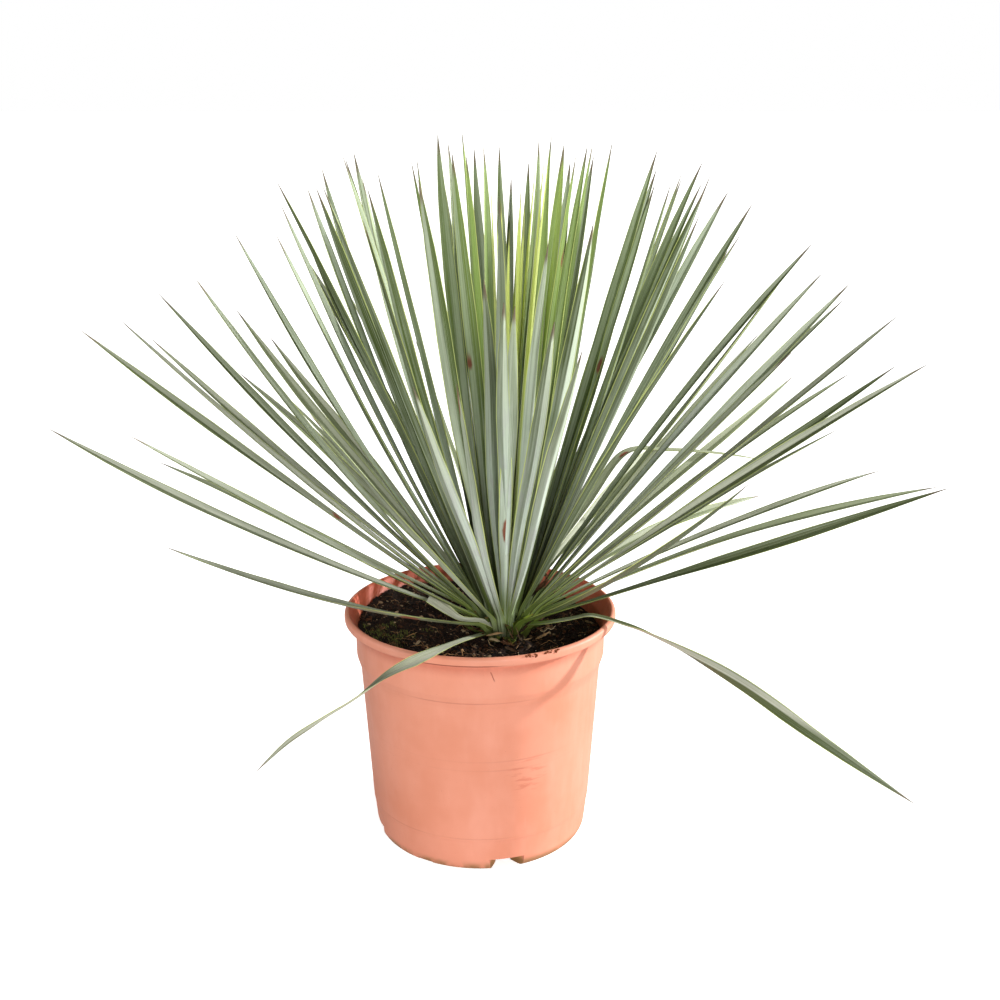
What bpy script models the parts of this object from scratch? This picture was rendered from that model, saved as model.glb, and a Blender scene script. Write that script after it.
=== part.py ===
# Beaked yucca growing in a round terracotta-coloured plastic pot.
# Metres, +Z up. The origin is under the middle of the pot, on the plane that it stands on.
# Bearings are degrees round +Z from +X, and rises are degrees above the horizontal.

import math
import random

import bmesh
import bpy
import numpy as np
from mathutils import Vector

# Driving dimensions

potHeight = 0.183
rimRadius = 0.105
lipDrop = 0.007
collarRadius = 0.0963
collarBottom = 0.147
bodyTopRadius = 0.0932
bodyTop = 0.138
bodyBottomRadius = 0.0858
bodyBottom = 0.027
footRadius = 0.0795
footRingInner = 0.070
wall = 0.002
floorUnderside = 0.014
floorTop = 0.0162
bossRadius = 0.020
clearance = 0.0003

notchTurn = 14.5
notchHeight = 0.0097
notchOuterWidth = 0.026
notchTopWidth = 0.021
notchInnerWidth = 0.009
slotTurn = 59
slotWidth = 0.013
slotHeight = 0.0019
drainRadius = 0.005
drainDepth = 0.012
drainCircle = 0.058

soilTop = 0.1660
soilTiltX = -0.045
soilTiltY = 0.030
soilMound = 0.0028
soilDip = 0.0058
soilDipReach = 0.050
soilRelief = 0.0012

stemX = 0.019
stemRadius = 0.017
stemBottom = 0.119
crownZ = 0.173
crownRadius = 0.020
crownTop = 0.185
heartRadius = 0.006
heartFloor = 0.169

sheathRingOuter = 0.023
sheathRingBottom = 0.150
sheathRingTop = 0.1635
sheathRoot = 0.0202
sheathCount = 18
sheathReach = (0.030, 0.042)
sheathRise = (21, 26)
sheathWidth = (0.007, 0.010)
sheathThickness = 0.0012
sheathSteps = [0, 0.3, 0.6, 0.85, 1]

# Bearings where a low leaf leaves the stem, so that no dry sheath stands there
lowLeafBearings = [236, 322]
lowLeafRise = 20
lowLeafSpace = 20

leafSeed = 11
goldenAngle = 137.508
placedWidth = (0.010, 0.012)
spiralWidth = (0.0095, 0.012)
spiralReach = (350, 378)
bladeThickness = 0.0014
channel = 0.16
youngWidth = 0.0055
youngStart = 0.0025

# Steps round each turned solid and each cutter, and along each bent leaf
potSteps = 48
soilSteps = 40
pocketSteps = 24
drainSteps = 12
crownSteps = 20
heartSteps = 12
heartPocketSteps = 16
bentSteps = 12
stubSteps = 6

# How far along a leaf each section lies, and its share of the leaf's full width
sectionShares = [(0, 0.75), (0.08, 0.55), (0.28, 0.85), (0.50, 1.0), (0.70, 0.80), (0.87, 0.45), (1, 0)]

# Leaves that make the outline: bearing, rise, reach in millimetres and arc in degrees.
# A positive arc lifts the tip, and a negative one lets it bend down.
leftLeaves = [
    (231, 24, 345, 14), (191, 27, 366, 12), (218, 33, 350, 4), (169, 37, 350, 6), (190, 38, 380, 6),
    (187, 41, 364, 8), (145, 38, 350, 4), (136, 33, 340, 2), (186, 46, 356, 8), (198, 51, 350, 14),
    (183, 57, 354, 12), (136, 50, 350, 6), (211, 60, 350, 8), (179, 63, 354, 10), (172, 66, 356, 10),
    (178, 69, 364, 12), (130, 60, 350, 2), (196, 73, 352, 10), (178, 73, 367, 10), (246, 39, 350, 6),
    (263.6, 43.5, 345, 6),
]
rightLeaves = [
    (336, 24, 350, 2), (5, 16, 352, -14), (22, 29, 350, -8), (2, 34, 352, 4), (350, 35, 366, -4),
    (298, 32, 345, 14), (352, 41, 368, 2), (313, 44, 350, 2), (5, 44, 352, -2), (354, 47, 359, 2),
    (355, 50, 352, -2), (36, 50, 350, 2), (356, 53, 362, -8), (311, 54, 350, -4), (333, 60, 350, -4),
    (358, 61, 361, -4), (359, 64, 361, -8), (1, 67, 358, -4), (359, 68, 372, -4), (331, 71, 352, 4),
    (2, 73, 368, 0), (67, 54, 350, 0), (46, 4, 350, -22), (60, 13, 350, -20),
]
frontLeaves = [
    (266.2, 55.5, 350, 0), (269.6, 52.5, 350, 0), (271.4, 53, 344, 2), (277, 50, 350, 0),
    (278.6, 61, 350, -2), (280.2, 46.5, 350, 0), (247.8, 75.5, 366, 0), (305.6, 79.5, 362, 0),
    (258, 43, 345, 6), (227, 70.5, 364, 5), (229, 68, 360, 7),
]
heartLeaves = [
    (350, 85.4, 352), (12, 86.3, 344), (22, 87.2, 322), (330, 87.9, 313), (200, 88.8, 309), (190, 88.2, 332),
    (60, 86, 298), (282, 87.2, 300), (5, 84.9, 356), (300, 86.2, 330), (318, 86.6, 306), (250, 88.4, 320),
]

# The rosette seen from the front has gaps: the middle and half width in degrees of each, round the fan
fanGaps = [(103.9, 2.1), (73.6, 2.0), (115.3, 1.5), (62.6, 2.8), (127.0, 2.0)]
frontRise = 16.65

# Routes of the leaves that bend sharply, in millimetres
droopLeft = [
    (10, -6, 168), (0, -20, 169), (-12, -47, 173), (-27, -93, 185), (-44, -119, 187), (-61, -136, 184),
    (-82, -152, 174), (-103, -168, 166), (-124, -183, 157), (-144, -193, 141),
]
droopRight = [
    (28, -6, 169), (48, -21, 176), (70, -29, 183), (81, -33, 187), (90, -36, 187), (105, -42, 184.5),
    (130, -52, 178), (188, -78, 154), (241, -95, 121), (279, -107, 97), (313, -118, 76),
]
backBent = [
    (22, 3, 178), (50, 36, 204), (85, 74, 240), (119, 110, 275), (160, 126, 274), (204, 143, 267),
    (246, 160, 257),
]
cutStub = [
    (14, -9, 166), (11.5, -17, 171), (5.4, -21, 176.7), (-1.4, -24, 180.4), (-14.2, -28, 183.2),
    (-26.2, -29, 192.1), (-38.1, -30, 201.3),
]

# Width in metres, roll and twist in degrees of each of them
bentForms = {
    "droop_left": (droopLeft, 0.012, 8, 10),
    "droop_right": (droopRight, 0.0115, -12, 62),
    "back_bent": (backBent, 0.010, 0, 15),
}
cutStubWidth = 0.007


def newMaterial(name, colour, roughness, metallic=0.0):
    material = bpy.data.materials.new(name)
    material.use_nodes = True
    shader = material.node_tree.nodes["Principled BSDF"]
    shader.inputs["Base Color"].default_value = (*colour, 1)
    shader.inputs["Roughness"].default_value = roughness
    shader.inputs["Metallic"].default_value = metallic
    material.diffuse_color = (*colour, 1)
    return material


def newObject(name, mesh, collection, material=None):
    thing = bpy.data.objects.new(name, mesh)
    collection.objects.link(thing)
    if material:
        mesh.materials.clear()
        mesh.materials.append(material)
    return thing


def turned(name, profile, steps, collection, material=None):
    mesh = bpy.data.meshes.new(name)
    points = [(radius, 0, z) for radius, z in profile]
    mesh.from_pydata(points, [(i, i + 1) for i in range(len(points) - 1)], [])
    thing = newObject(name, mesh, collection, material)
    screw = thing.modifiers.new("Turn", "SCREW")
    screw.steps = steps
    screw.render_steps = steps
    screw.use_merge_vertices = True
    screw.merge_threshold = 0.00001
    return thing


def applyModifiers(thing):
    graph = bpy.context.evaluated_depsgraph_get()
    mesh = bpy.data.meshes.new_from_object(thing.evaluated_get(graph))
    mesh.name = thing.name
    thing.modifiers.clear()
    thing.data = mesh


def shadeRound(thing, sharpDegrees):
    thing.data.shade_smooth()
    thing.data.set_sharp_from_angle(angle=math.radians(sharpDegrees))


def newCutter(name, buildShape, cutters, location=(0, 0, 0), bearing=0):
    mesh = bpy.data.meshes.new(name)
    shape = bmesh.new()
    buildShape(shape)
    shape.to_mesh(mesh)
    shape.free()
    cutter = newObject(name, mesh, cutters)
    cutter.location = location
    cutter.rotation_euler.z = math.radians(bearing)
    cutter.hide_render = True
    cutter.display_type = "WIRE"
    return cutter


def boxShape(length, width, height):
    def build(shape):
        bmesh.ops.create_cube(shape, size=1)
        bmesh.ops.scale(shape, vec=(length, width, height), verts=shape.verts)
    return build


def notchShape(shape):
    # A wedge that narrows towards the middle of the pot and towards its top
    inner = footRingInner - 0.002
    outer = footRadius + 0.008
    foot = footRadius
    bmesh.ops.create_cube(shape, size=2)
    for vert in shape.verts:
        far = (notchTopWidth if vert.co.z > 0 else 2 * notchOuterWidth - notchTopWidth) / 2
        near = notchInnerWidth / 2
        spread = (far - near) / (foot - footRingInner)
        radius = outer if vert.co.x > 0 else inner
        half = near + spread * (radius - footRingInner)
        vert.co = (radius, math.copysign(half, vert.co.y), math.copysign(notchHeight, vert.co.z))


def cylinderShape(radius, depth, sides):
    def build(shape):
        bmesh.ops.create_cone(shape, cap_ends=True, segments=sides, radius1=radius, radius2=radius,
                              depth=depth)
    return build


def cut(thing, cutter):
    boolean = thing.modifiers.new("Cut " + cutter.name, "BOOLEAN")
    boolean.operation = "DIFFERENCE"
    boolean.object = cutter


def direction(bearing, rise=0.0):
    turn = math.radians(bearing)
    lift = math.radians(rise)
    return np.array([math.cos(turn) * math.cos(lift), math.sin(turn) * math.cos(lift), math.sin(lift)])


def makePot(parts, cutters):
    lip = potHeight - lipDrop
    inside = [
        (0, floorTop), (bodyBottomRadius - wall - 0.0035, floorTop),
        (bodyBottomRadius - wall - 0.0009, floorTop + 0.0023), (bodyTopRadius - wall, bodyTop),
        (collarRadius - wall - 0.0008, collarBottom - 0.0015), (collarRadius - wall, collarBottom + 0.0005),
        (collarRadius - wall + 0.0004, lip - 0.005), (0.0968, lip - 0.0008), (0.0986, lip + 0.0024),
        (0.0998, lip + 0.0050), (0.1009, lip + 0.0064),
    ]
    outside = [
        (0.1022, potHeight), (0.1035, lip + 0.0066), (0.1046, lip + 0.0056), (rimRadius, lip + 0.0041),
        (rimRadius, lip + 0.0010), (rimRadius - 0.0006, lip), (collarRadius + 0.0020, lip - 0.0002),
        (collarRadius + 0.0009, lip - 0.0014), (collarRadius + 0.0003, lip - 0.004),
        (collarRadius, collarBottom + 0.0014), (collarRadius - 0.0008, collarBottom - 0.001),
        (bodyTopRadius + 0.0006, bodyTop + 0.0025), (bodyTopRadius, bodyTop), (bodyBottomRadius, bodyBottom),
        (bodyBottomRadius - 0.0005, bodyBottom - 0.0012), (bodyBottomRadius - 0.0022, 0.010),
        (bodyBottomRadius - 0.0028, 0.0045), (bodyBottomRadius - 0.0045, 0.0013), (footRadius, 0),
    ]
    underneath = [
        (footRingInner + 0.0005, 0), (footRingInner, 0.001), (footRingInner, floorUnderside),
        (bossRadius + 0.0015, floorUnderside), (bossRadius, 0), (0, 0),
    ]
    plastic = newMaterial("terracotta_plastic", (0.80, 0.36, 0.24), 0.5)
    pot = turned("pot", inside + outside + underneath, potSteps, parts, plastic)
    for quarter in range(4):
        notchBearing = 270 + notchTurn + 90 * quarter
        slotBearing = 270 + slotTurn + 90 * quarter
        notch = newCutter(f"notch_{quarter}", notchShape, cutters, bearing=notchBearing)
        slotPlace = Vector(direction(slotBearing) * footRadius)
        slot = newCutter(f"slot_{quarter}", boxShape(0.02, slotWidth, 2 * slotHeight), cutters,
                         slotPlace, slotBearing)
        drainPlace = Vector(direction(notchBearing) * drainCircle) + Vector((0, 0, floorUnderside))
        drainShape = cylinderShape(drainRadius, drainDepth, drainSteps)
        drain = newCutter(f"drain_{quarter}", drainShape, cutters, drainPlace)
        for cutter in (notch, slot, drain):
            cut(pot, cutter)
    return pot


def soilRise(x, y):
    # Higher at the left and back, with a dip round the stem and small mounds
    slope = soilTiltX * x + soilTiltY * y
    heap = soilMound * math.exp(-((x + 0.07) ** 2 + (y - 0.05) ** 2) / 0.05 ** 2)
    dip = soilDip * math.exp(-((x - stemX) ** 2 + y ** 2) / soilDipReach ** 2)
    mounds = soilRelief * math.sin(95 * x + 1.3) * math.cos(83 * y - 0.6)
    return slope + heap + mounds - dip


def makeSoil(parts, cutters):
    upperRadius = collarRadius - wall - clearance
    middleRadius = bodyTopRadius - wall - clearance
    lowerRadius = bodyBottomRadius - wall - 0.0009 - clearance
    bottom = floorTop + clearance
    topRings = [(radius / 1000, soilTop) for radius in (0, 14, 28, 42, 56, 70, 82)]
    sides = [
        (upperRadius, soilTop), (upperRadius, collarBottom + 0.0007),
        (upperRadius - 0.0008, collarBottom - 0.0015), (middleRadius, bodyTop),
        (lowerRadius, floorTop + 0.0025), (lowerRadius - 0.0028, bottom), (0, bottom),
    ]
    earth = newMaterial("potting_soil", (0.035, 0.024, 0.018), 0.95)
    soil = turned("soil", topRings + sides, soilSteps, parts, earth)
    applyModifiers(soil)
    for vertex in soil.data.vertices:
        if vertex.co.z > soilTop - 0.001:
            vertex.co.z += soilRise(vertex.co.x, vertex.co.y)
    above = 0.03
    pocketDepth = soilTop + above - (sheathRingBottom - clearance)
    pocketShape = cylinderShape(sheathRingOuter + clearance, pocketDepth, pocketSteps)
    pocket = newCutter("sheath_pocket", pocketShape, cutters, (stemX, 0, soilTop + above - pocketDepth / 2))
    holeDepth = soilTop + above - (stemBottom - clearance)
    holeShape = cylinderShape(stemRadius + clearance * 1.5, holeDepth, pocketSteps)
    hole = newCutter("stem_hole", holeShape, cutters, (stemX, 0, soilTop + above - holeDepth / 2))
    cut(soil, pocket)
    cut(soil, hole)
    return soil


def shareAt(t):
    places = [place for place, share in sectionShares]
    shares = [share for place, share in sectionShares]
    return float(np.interp(t, places, shares))


def straightRoute(leaf, startRadius, places):
    # A straight line from the crown to the tip, bowed by a parabola in the leaf's own plane
    flat = direction(leaf["bearing"])
    aim = direction(leaf["bearing"], leaf["rise"])
    lift = 0.006 * aim[2] - 0.004
    start = np.array([stemX, 0, crownZ + lift]) + startRadius * flat
    tip = np.array([stemX, 0, crownZ]) + leaf["reach"] / 1000 * aim
    chord = tip - start
    length = np.linalg.norm(chord)
    side = direction(leaf["bearing"] + 90)
    up = np.cross(side, chord / length)
    up = up * (-1 if up[2] < 0 else 1)
    places = np.array(places)[:, None]
    bow = length * places * (1 - places) / 2
    bend = math.radians(leaf["arc"]) * up + math.radians(leaf["swing"]) * side
    return start + places * chord - bow * bend


def bentRoute(points, places):
    # A Catmull-Rom curve through the route's points
    points = np.array(points) / 1000
    padded = np.vstack([2 * points[0] - points[1], points, 2 * points[-1] - points[-2]])
    spans = len(points) - 1
    route = []
    for t in places:
        span = min(int(t * spans), spans - 1)
        u = t * spans - span
        a, b, c, d = padded[span:span + 4]
        route.append(0.5 * (2 * b + (c - a) * u + (2 * a - 5 * b + 4 * c - d) * u ** 2
                            + (3 * b - 3 * c + d - a) * u ** 3))
    return np.array(route)


def bladeMesh(name, route, places, width, roll, twist, pointed=True, thickness=bladeThickness):
    # Four-sided sections along the route: two edges, a shallow channel above and a keel below
    tangents = np.gradient(route, axis=0)
    shape = bmesh.new()
    rings = []
    sections = len(places) - 1 if pointed else len(places)
    for i in range(sections):
        along = Vector(tangents[i]).normalized()
        level = Vector((0, 0, 1)).cross(along)
        level.normalize()
        turn = math.radians(roll + twist * places[i])
        above = along.cross(level)
        side = level * math.cos(turn) + above * math.sin(turn)
        normal = along.cross(side)
        half = width * (shareAt(places[i]) if pointed else 1) / 2
        deep = thickness * (1 - 0.45 * places[i]) / 2
        middle = Vector(route[i])
        lift = normal * (2 * half * channel)
        corners = [middle + side * half + lift, middle + normal * deep, middle - side * half + lift,
                   middle - normal * deep]
        rings.append([shape.verts.new(corner) for corner in corners])
    for lower, upper in zip(rings, rings[1:]):
        for k in range(4):
            n = (k + 1) % 4
            shape.faces.new((lower[k], lower[n], upper[n], upper[k]))
    first = rings[0]
    shape.faces.new((first[0], first[3], first[1]))
    shape.faces.new((first[1], first[3], first[2]))
    last = rings[-1]
    if pointed:
        tip = shape.verts.new(Vector(route[-1]))
        for k in range(4):
            shape.faces.new((last[k], last[(k + 1) % 4], tip))
    else:
        shape.faces.new((last[0], last[1], last[3]))
        shape.faces.new((last[1], last[2], last[3]))
    bmesh.ops.triangulate(shape, faces=shape.faces)
    bmesh.ops.recalc_face_normals(shape, faces=shape.faces)
    mesh = bpy.data.meshes.new(name)
    shape.to_mesh(mesh)
    shape.free()
    return mesh


def angleBetween(one, other):
    return math.degrees(math.acos(max(-1.0, min(1.0, float(one @ other)))))


def fanAngle(aim):
    # Where this aim shows in the fan for a viewer a little above the front, in degrees from the right
    lift = math.radians(frontRise)
    return math.degrees(math.atan2(math.cos(lift) * aim[2] + math.sin(lift) * aim[1], aim[0]))


def rosetteLeaves():
    # The outline leaves, then two seeded spirals that fill the top and the back, then the front leaves
    draw = random.Random(leafSeed)
    leaves = []

    def addPlaced(placed, swings, rolls, twists):
        for bearing, rise, reach, arc in placed:
            toward = 1 if math.cos(math.radians(bearing)) > 0 else -1
            leaves.append({"bearing": bearing, "rise": rise, "reach": reach, "arc": arc,
                           "swing": draw.uniform(-swings, swings), "width": draw.uniform(*placedWidth),
                           "roll": draw.uniform(-rolls, rolls), "twist": toward * draw.uniform(*twists)})

    addPlaced(leftLeaves + rightLeaves, 5, 12, (20, 75))
    taken = [direction(leaf["bearing"], leaf["rise"]) for leaf in leaves + [
        {"bearing": front[0], "rise": front[1]} for front in frontLeaves]]

    def addSpiral(count, tries, spacing, place, arcs, twists):
        added = 0
        for k in range(tries):
            bearing, rise = place(k)
            leaf = {"bearing": bearing, "rise": rise, "reach": draw.uniform(*spiralReach),
                    "arc": draw.uniform(*arcs), "swing": draw.uniform(-5, 5),
                    "width": draw.uniform(*spiralWidth), "roll": draw.uniform(-15, 15),
                    "twist": draw.uniform(-twists, twists)}
            aim = direction(bearing, rise)
            hidesHeart = rise > 64 and 250 < bearing < 312
            crowded = min(angleBetween(aim, other) for other in taken) < spacing
            inGap = any(abs(fanAngle(aim) - middle) < half for middle, half in fanGaps)
            if added < count and not (crowded or hidesHeart or inGap):
                taken.append(aim)
                leaves.append(leaf)
                added += 1

    def topPlace(k):
        return (k * goldenAngle) % 360, 83 - 23 * ((k % 70) / 70) ** 0.8 + draw.uniform(-1.5, 1.5)

    def backPlace(k):
        return 25 + (k * goldenAngle) % 130, 12 + 48 * ((k * 0.618) % 1)

    addSpiral(46, 400, 3.8, topPlace, (-4, 8), 50)
    addSpiral(20, 300, 7.5, backPlace, (-12, 6), 60)
    addPlaced(frontLeaves, 2, 8, (-15, 25))
    return leaves


def fillPockets(mesh):
    # Small hollows enclosed between crossing blades become solid: only the largest shell stays
    shape = bmesh.new()
    shape.from_mesh(mesh)
    unseen = set(shape.verts)
    shells = []
    while unseen:
        edge = [unseen.pop()]
        shell = list(edge)
        while edge:
            near = {link.other_vert(vert) for vert in edge for link in vert.link_edges} & unseen
            unseen -= near
            edge = list(near)
            shell += edge
        shells.append(shell)
    shells.sort(key=len)
    for shell in shells[:-1]:
        bmesh.ops.delete(shape, geom=shell, context="VERTS")
    shape.to_mesh(mesh)
    shape.free()


def joinBlades(body, blades):
    union = body.modifiers.new("Join blades", "BOOLEAN")
    union.operation = "UNION"
    union.operand_type = "COLLECTION"
    union.collection = blades
    union.solver = "EXACT"
    applyModifiers(body)
    fillPockets(body.data)
    for blade in list(blades.objects):
        bpy.data.objects.remove(blade)


def makeRosette(parts, cutters, blades):
    green = newMaterial("glaucous_leaf", (0.24, 0.34, 0.20), 0.5)
    profile = [
        (0, crownTop), (0.010, crownTop - 0.001), (0.016, crownTop - 0.004), (0.0193, crownTop - 0.009),
        (crownRadius, crownTop - 0.014), (0.0187, crownTop - 0.018), (stemRadius, crownTop - 0.0195),
        (stemRadius, stemBottom), (0, stemBottom),
    ]
    rosette = turned("leaf_rosette", profile, crownSteps, parts, green)
    rosette.location.x = stemX
    bpy.context.view_layer.update()
    places = [place for place, share in sectionShares]
    for number, leaf in enumerate(rosetteLeaves()):
        startRadius = 0.009 + 0.005 * math.cos(math.radians(leaf["rise"]))
        route = straightRoute(leaf, startRadius, places)
        mesh = bladeMesh(f"blade_{number}", route, places, leaf["width"], leaf["roll"], leaf["twist"])
        newObject(mesh.name, mesh, blades)
    for name, (points, width, roll, twist) in bentForms.items():
        steps = [i / bentSteps for i in range(bentSteps + 1)]
        mesh = bladeMesh(name, bentRoute(points, steps), steps, width, roll, twist)
        newObject(name, mesh, blades)
    steps = [i / stubSteps for i in range(stubSteps + 1)]
    stub = bladeMesh("cut_stub", bentRoute(cutStub, steps), steps, cutStubWidth, -50, -20, pointed=False)
    newObject("cut_stub", stub, blades)
    joinBlades(rosette, blades)
    pocketDepth = crownTop + 0.004 - (heartFloor - clearance)
    pocketShape = cylinderShape(heartRadius + clearance * 2, pocketDepth, heartPocketSteps)
    pocket = newCutter("heart_pocket", pocketShape, cutters, (stemX, 0, crownTop + 0.004 - pocketDepth / 2))
    cut(rosette, pocket)
    return rosette


def makeHeart(parts, blades):
    young = newMaterial("young_leaf", (0.48, 0.62, 0.10), 0.45)
    profile = [(0, crownTop), (heartRadius, crownTop - 0.001), (heartRadius, heartFloor), (0, heartFloor)]
    heart = turned("heart_leaves", profile, heartSteps, parts, young)
    heart.location.x = stemX
    bpy.context.view_layer.update()
    places = [place for place, share in sectionShares]
    draw = random.Random(leafSeed + 1)
    for number, (bearing, rise, reach) in enumerate(heartLeaves):
        leaf = {"bearing": bearing, "rise": rise, "reach": reach, "arc": draw.uniform(-2, 2),
                "swing": draw.uniform(-2, 2)}
        route = straightRoute(leaf, youngStart, places)
        roll = draw.uniform(-15, 15)
        mesh = bladeMesh(f"young_{number}", route, places, youngWidth, roll, draw.uniform(-30, 30))
        newObject(mesh.name, mesh, blades)
    joinBlades(heart, blades)
    return heart


def makeDrySheaths(parts, blades, leaves):
    brown = newMaterial("dry_sheath", (0.33, 0.20, 0.09), 0.85)
    inner = stemRadius + clearance * 1.5
    profile = [
        (inner, sheathRingTop), (inner + 0.003, sheathRingTop), (sheathRingOuter, sheathRingTop - 0.003),
        (sheathRingOuter, sheathRingBottom), (inner, sheathRingBottom), (inner, sheathRingTop),
    ]
    ring = turned("dry_leaf_bases", profile, crownSteps, parts, brown)
    ring.location.x = stemX
    bpy.context.view_layer.update()
    draw = random.Random(leafSeed + 2)
    lowBearings = [leaf["bearing"] for leaf in leaves if leaf["rise"] < lowLeafRise] + lowLeafBearings
    for number in range(sheathCount):
        bearing = 360 / sheathCount * number + draw.uniform(-5, 5)
        reach = draw.uniform(*sheathReach)
        rise = draw.uniform(*sheathRise)
        gaps = [abs((bearing - low + 180) % 360 - 180) for low in lowBearings]
        if min(gaps) < lowLeafSpace:
            continue
        base = np.array([stemX, 0, sheathRingTop - 0.002]) + sheathRoot * direction(bearing)
        route = np.array([base + t * (reach - sheathRoot) * direction(bearing, rise) for t in sheathSteps])
        width = draw.uniform(*sheathWidth)
        mesh = bladeMesh(f"sheath_{number}", route, sheathSteps, width, draw.uniform(-8, 8),
                         draw.uniform(-20, 20), thickness=sheathThickness)
        newObject(mesh.name, mesh, blades)
    joinBlades(ring, blades)
    return ring


def main():
    for thing in list(bpy.data.objects):
        bpy.data.objects.remove(thing)
    parts = bpy.data.collections.new("beaked_yucca")
    cutters = bpy.data.collections.new("cutters")
    blades = bpy.data.collections.new("blades")
    for collection in (parts, cutters, blades):
        bpy.context.scene.collection.children.link(collection)
    pot = makePot(parts, cutters)
    soil = makeSoil(parts, cutters)
    rosette = makeRosette(parts, cutters, blades)
    heart = makeHeart(parts, blades)
    sheaths = makeDrySheaths(parts, blades, rosetteLeaves())
    bpy.data.collections.remove(blades)
    for thing in (pot, soil, rosette, heart, sheaths):
        shadeRound(thing, 35)


main()
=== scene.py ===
import math
import random

import bpy
import numpy as np
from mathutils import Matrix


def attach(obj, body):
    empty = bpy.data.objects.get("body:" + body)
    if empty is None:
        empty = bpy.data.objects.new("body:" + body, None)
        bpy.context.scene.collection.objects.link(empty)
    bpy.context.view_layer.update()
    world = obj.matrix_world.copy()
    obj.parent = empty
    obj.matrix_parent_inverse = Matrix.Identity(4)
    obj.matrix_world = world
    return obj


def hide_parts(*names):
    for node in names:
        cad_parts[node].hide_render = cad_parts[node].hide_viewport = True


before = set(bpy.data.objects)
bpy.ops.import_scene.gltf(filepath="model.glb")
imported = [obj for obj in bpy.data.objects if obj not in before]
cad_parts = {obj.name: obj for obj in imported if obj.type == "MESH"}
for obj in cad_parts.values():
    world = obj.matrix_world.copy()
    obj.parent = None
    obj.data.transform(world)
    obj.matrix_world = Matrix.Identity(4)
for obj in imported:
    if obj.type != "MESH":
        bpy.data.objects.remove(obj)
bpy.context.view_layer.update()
print("frame loaded")

# Shared places, in metres: the plant stands a little to the right of the pot's axis

plant = {
    "stemX": 0.019,
    "crownZ": 0.173,
    "potHeight": 0.183,
    "soilReach": 0.0925,
    "seed": 11,
    "goldenAngle": 137.508,
}


# Mesh helpers

def direction(bearing, rise=0.0):
    # The unit vector at this bearing round +Z from +X and this rise above the horizontal
    turn, lift = np.radians(bearing), np.radians(rise)
    parts = np.broadcast_arrays(np.cos(turn) * np.cos(lift), np.sin(turn) * np.cos(lift), np.sin(lift))
    return np.stack(parts, -1)


def unit(vectors):
    return vectors / np.maximum(np.linalg.norm(vectors, axis=-1, keepdims=True), 1e-9)


def ringQuads(rows, columns):
    # Corner numbers of the quads between closed rings of points, ring by ring
    start = columns * np.arange(rows - 1)[:, None]
    here = np.arange(columns)
    after = (here + 1) % columns
    corners = [start + here, start + after, start + columns + after, start + columns + here]
    return np.stack(corners, -1).reshape(-1, 4)


def repeated(faces, count, stride):
    # The same faces for each of count copies whose points lie one after another
    return (faces + stride * np.arange(count)[:, None, None]).reshape(-1, faces.shape[1])


def meshFrom(name, points, sharpAngle, *faceSets):
    # A smooth mesh from points and from arrays of faces, with a row of corner numbers for each face
    mesh = bpy.data.meshes.new(name)
    points = np.asarray(points, np.float32).reshape(-1, 3)
    mesh.vertices.add(len(points))
    mesh.vertices.foreach_set("co", points.ravel())
    corners = np.concatenate([faces.ravel() for faces in faceSets]).astype(np.int32)
    mesh.loops.add(len(corners))
    mesh.loops.foreach_set("vertex_index", corners)
    sizes = np.concatenate([np.full(len(faces), faces.shape[1]) for faces in faceSets])
    mesh.polygons.add(len(sizes))
    mesh.polygons.foreach_set("loop_start", (np.cumsum(sizes) - sizes).astype(np.int32))
    mesh.update(calc_edges=True)
    mesh.validate()
    mesh.shade_smooth()
    mesh.set_sharp_from_angle(angle=math.radians(sharpAngle))
    return mesh


def addObject(name, data):
    thing = bpy.data.objects.new(name, data)
    bpy.context.scene.collection.objects.link(thing)
    return thing


def addPiece(name, mesh, material, slot, node=None, **marks):
    # marks are the values that the material reads at each point of the mesh
    for key, values in marks.items():
        attribute = mesh.attributes.new(key, "FLOAT", "POINT")
        attribute.data.foreach_set("value", np.asarray(values, np.float32).ravel())
    mesh.materials.append(material)
    piece = addObject(name, mesh)
    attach(piece, "root")
    if node:
        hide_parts(node)


def latticeNoise(x, y, cell, seed):
    # Smoothly blended random values on a square lattice of this cell size, from -1 to 1
    size = 128
    values = np.random.default_rng(seed).uniform(-1, 1, (size, size))
    u, v = np.asarray(x) / cell + 500.0, np.asarray(y) / cell + 500.0
    i, j = np.floor(u).astype(int), np.floor(v).astype(int)
    a, b = (part * part * (3 - 2 * part) for part in (u - i, v - j))
    low, high = (values[i % size, k % size] * (1 - a) + values[(i + 1) % size, k % size] * a for k in (j, j + 1))
    return low * (1 - b) + high * b


# Shader helpers

def hexColour(text):
    # A colour as it looks on screen, turned into the linear values that shaders take
    parts = [int(text[i:i + 2], 16) / 255 for i in (1, 3, 5)]
    return tuple(p / 12.92 if p <= 0.04045 else ((p + 0.055) / 1.055) ** 2.4 for p in parts) + (1.0,)


class Value:
    # An output of a shader node. Sums, differences and products of values become Math nodes.
    def __init__(self, nodes, socket):
        self.nodes = nodes
        self.socket = socket

    def __add__(self, other):
        return self.nodes.math("ADD", self, other)

    def __sub__(self, other):
        return self.nodes.math("SUBTRACT", self, other)

    def __rsub__(self, other):
        return self.nodes.math("SUBTRACT", other, self)

    def __mul__(self, other):
        return self.nodes.math("MULTIPLY", self, other)


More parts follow.
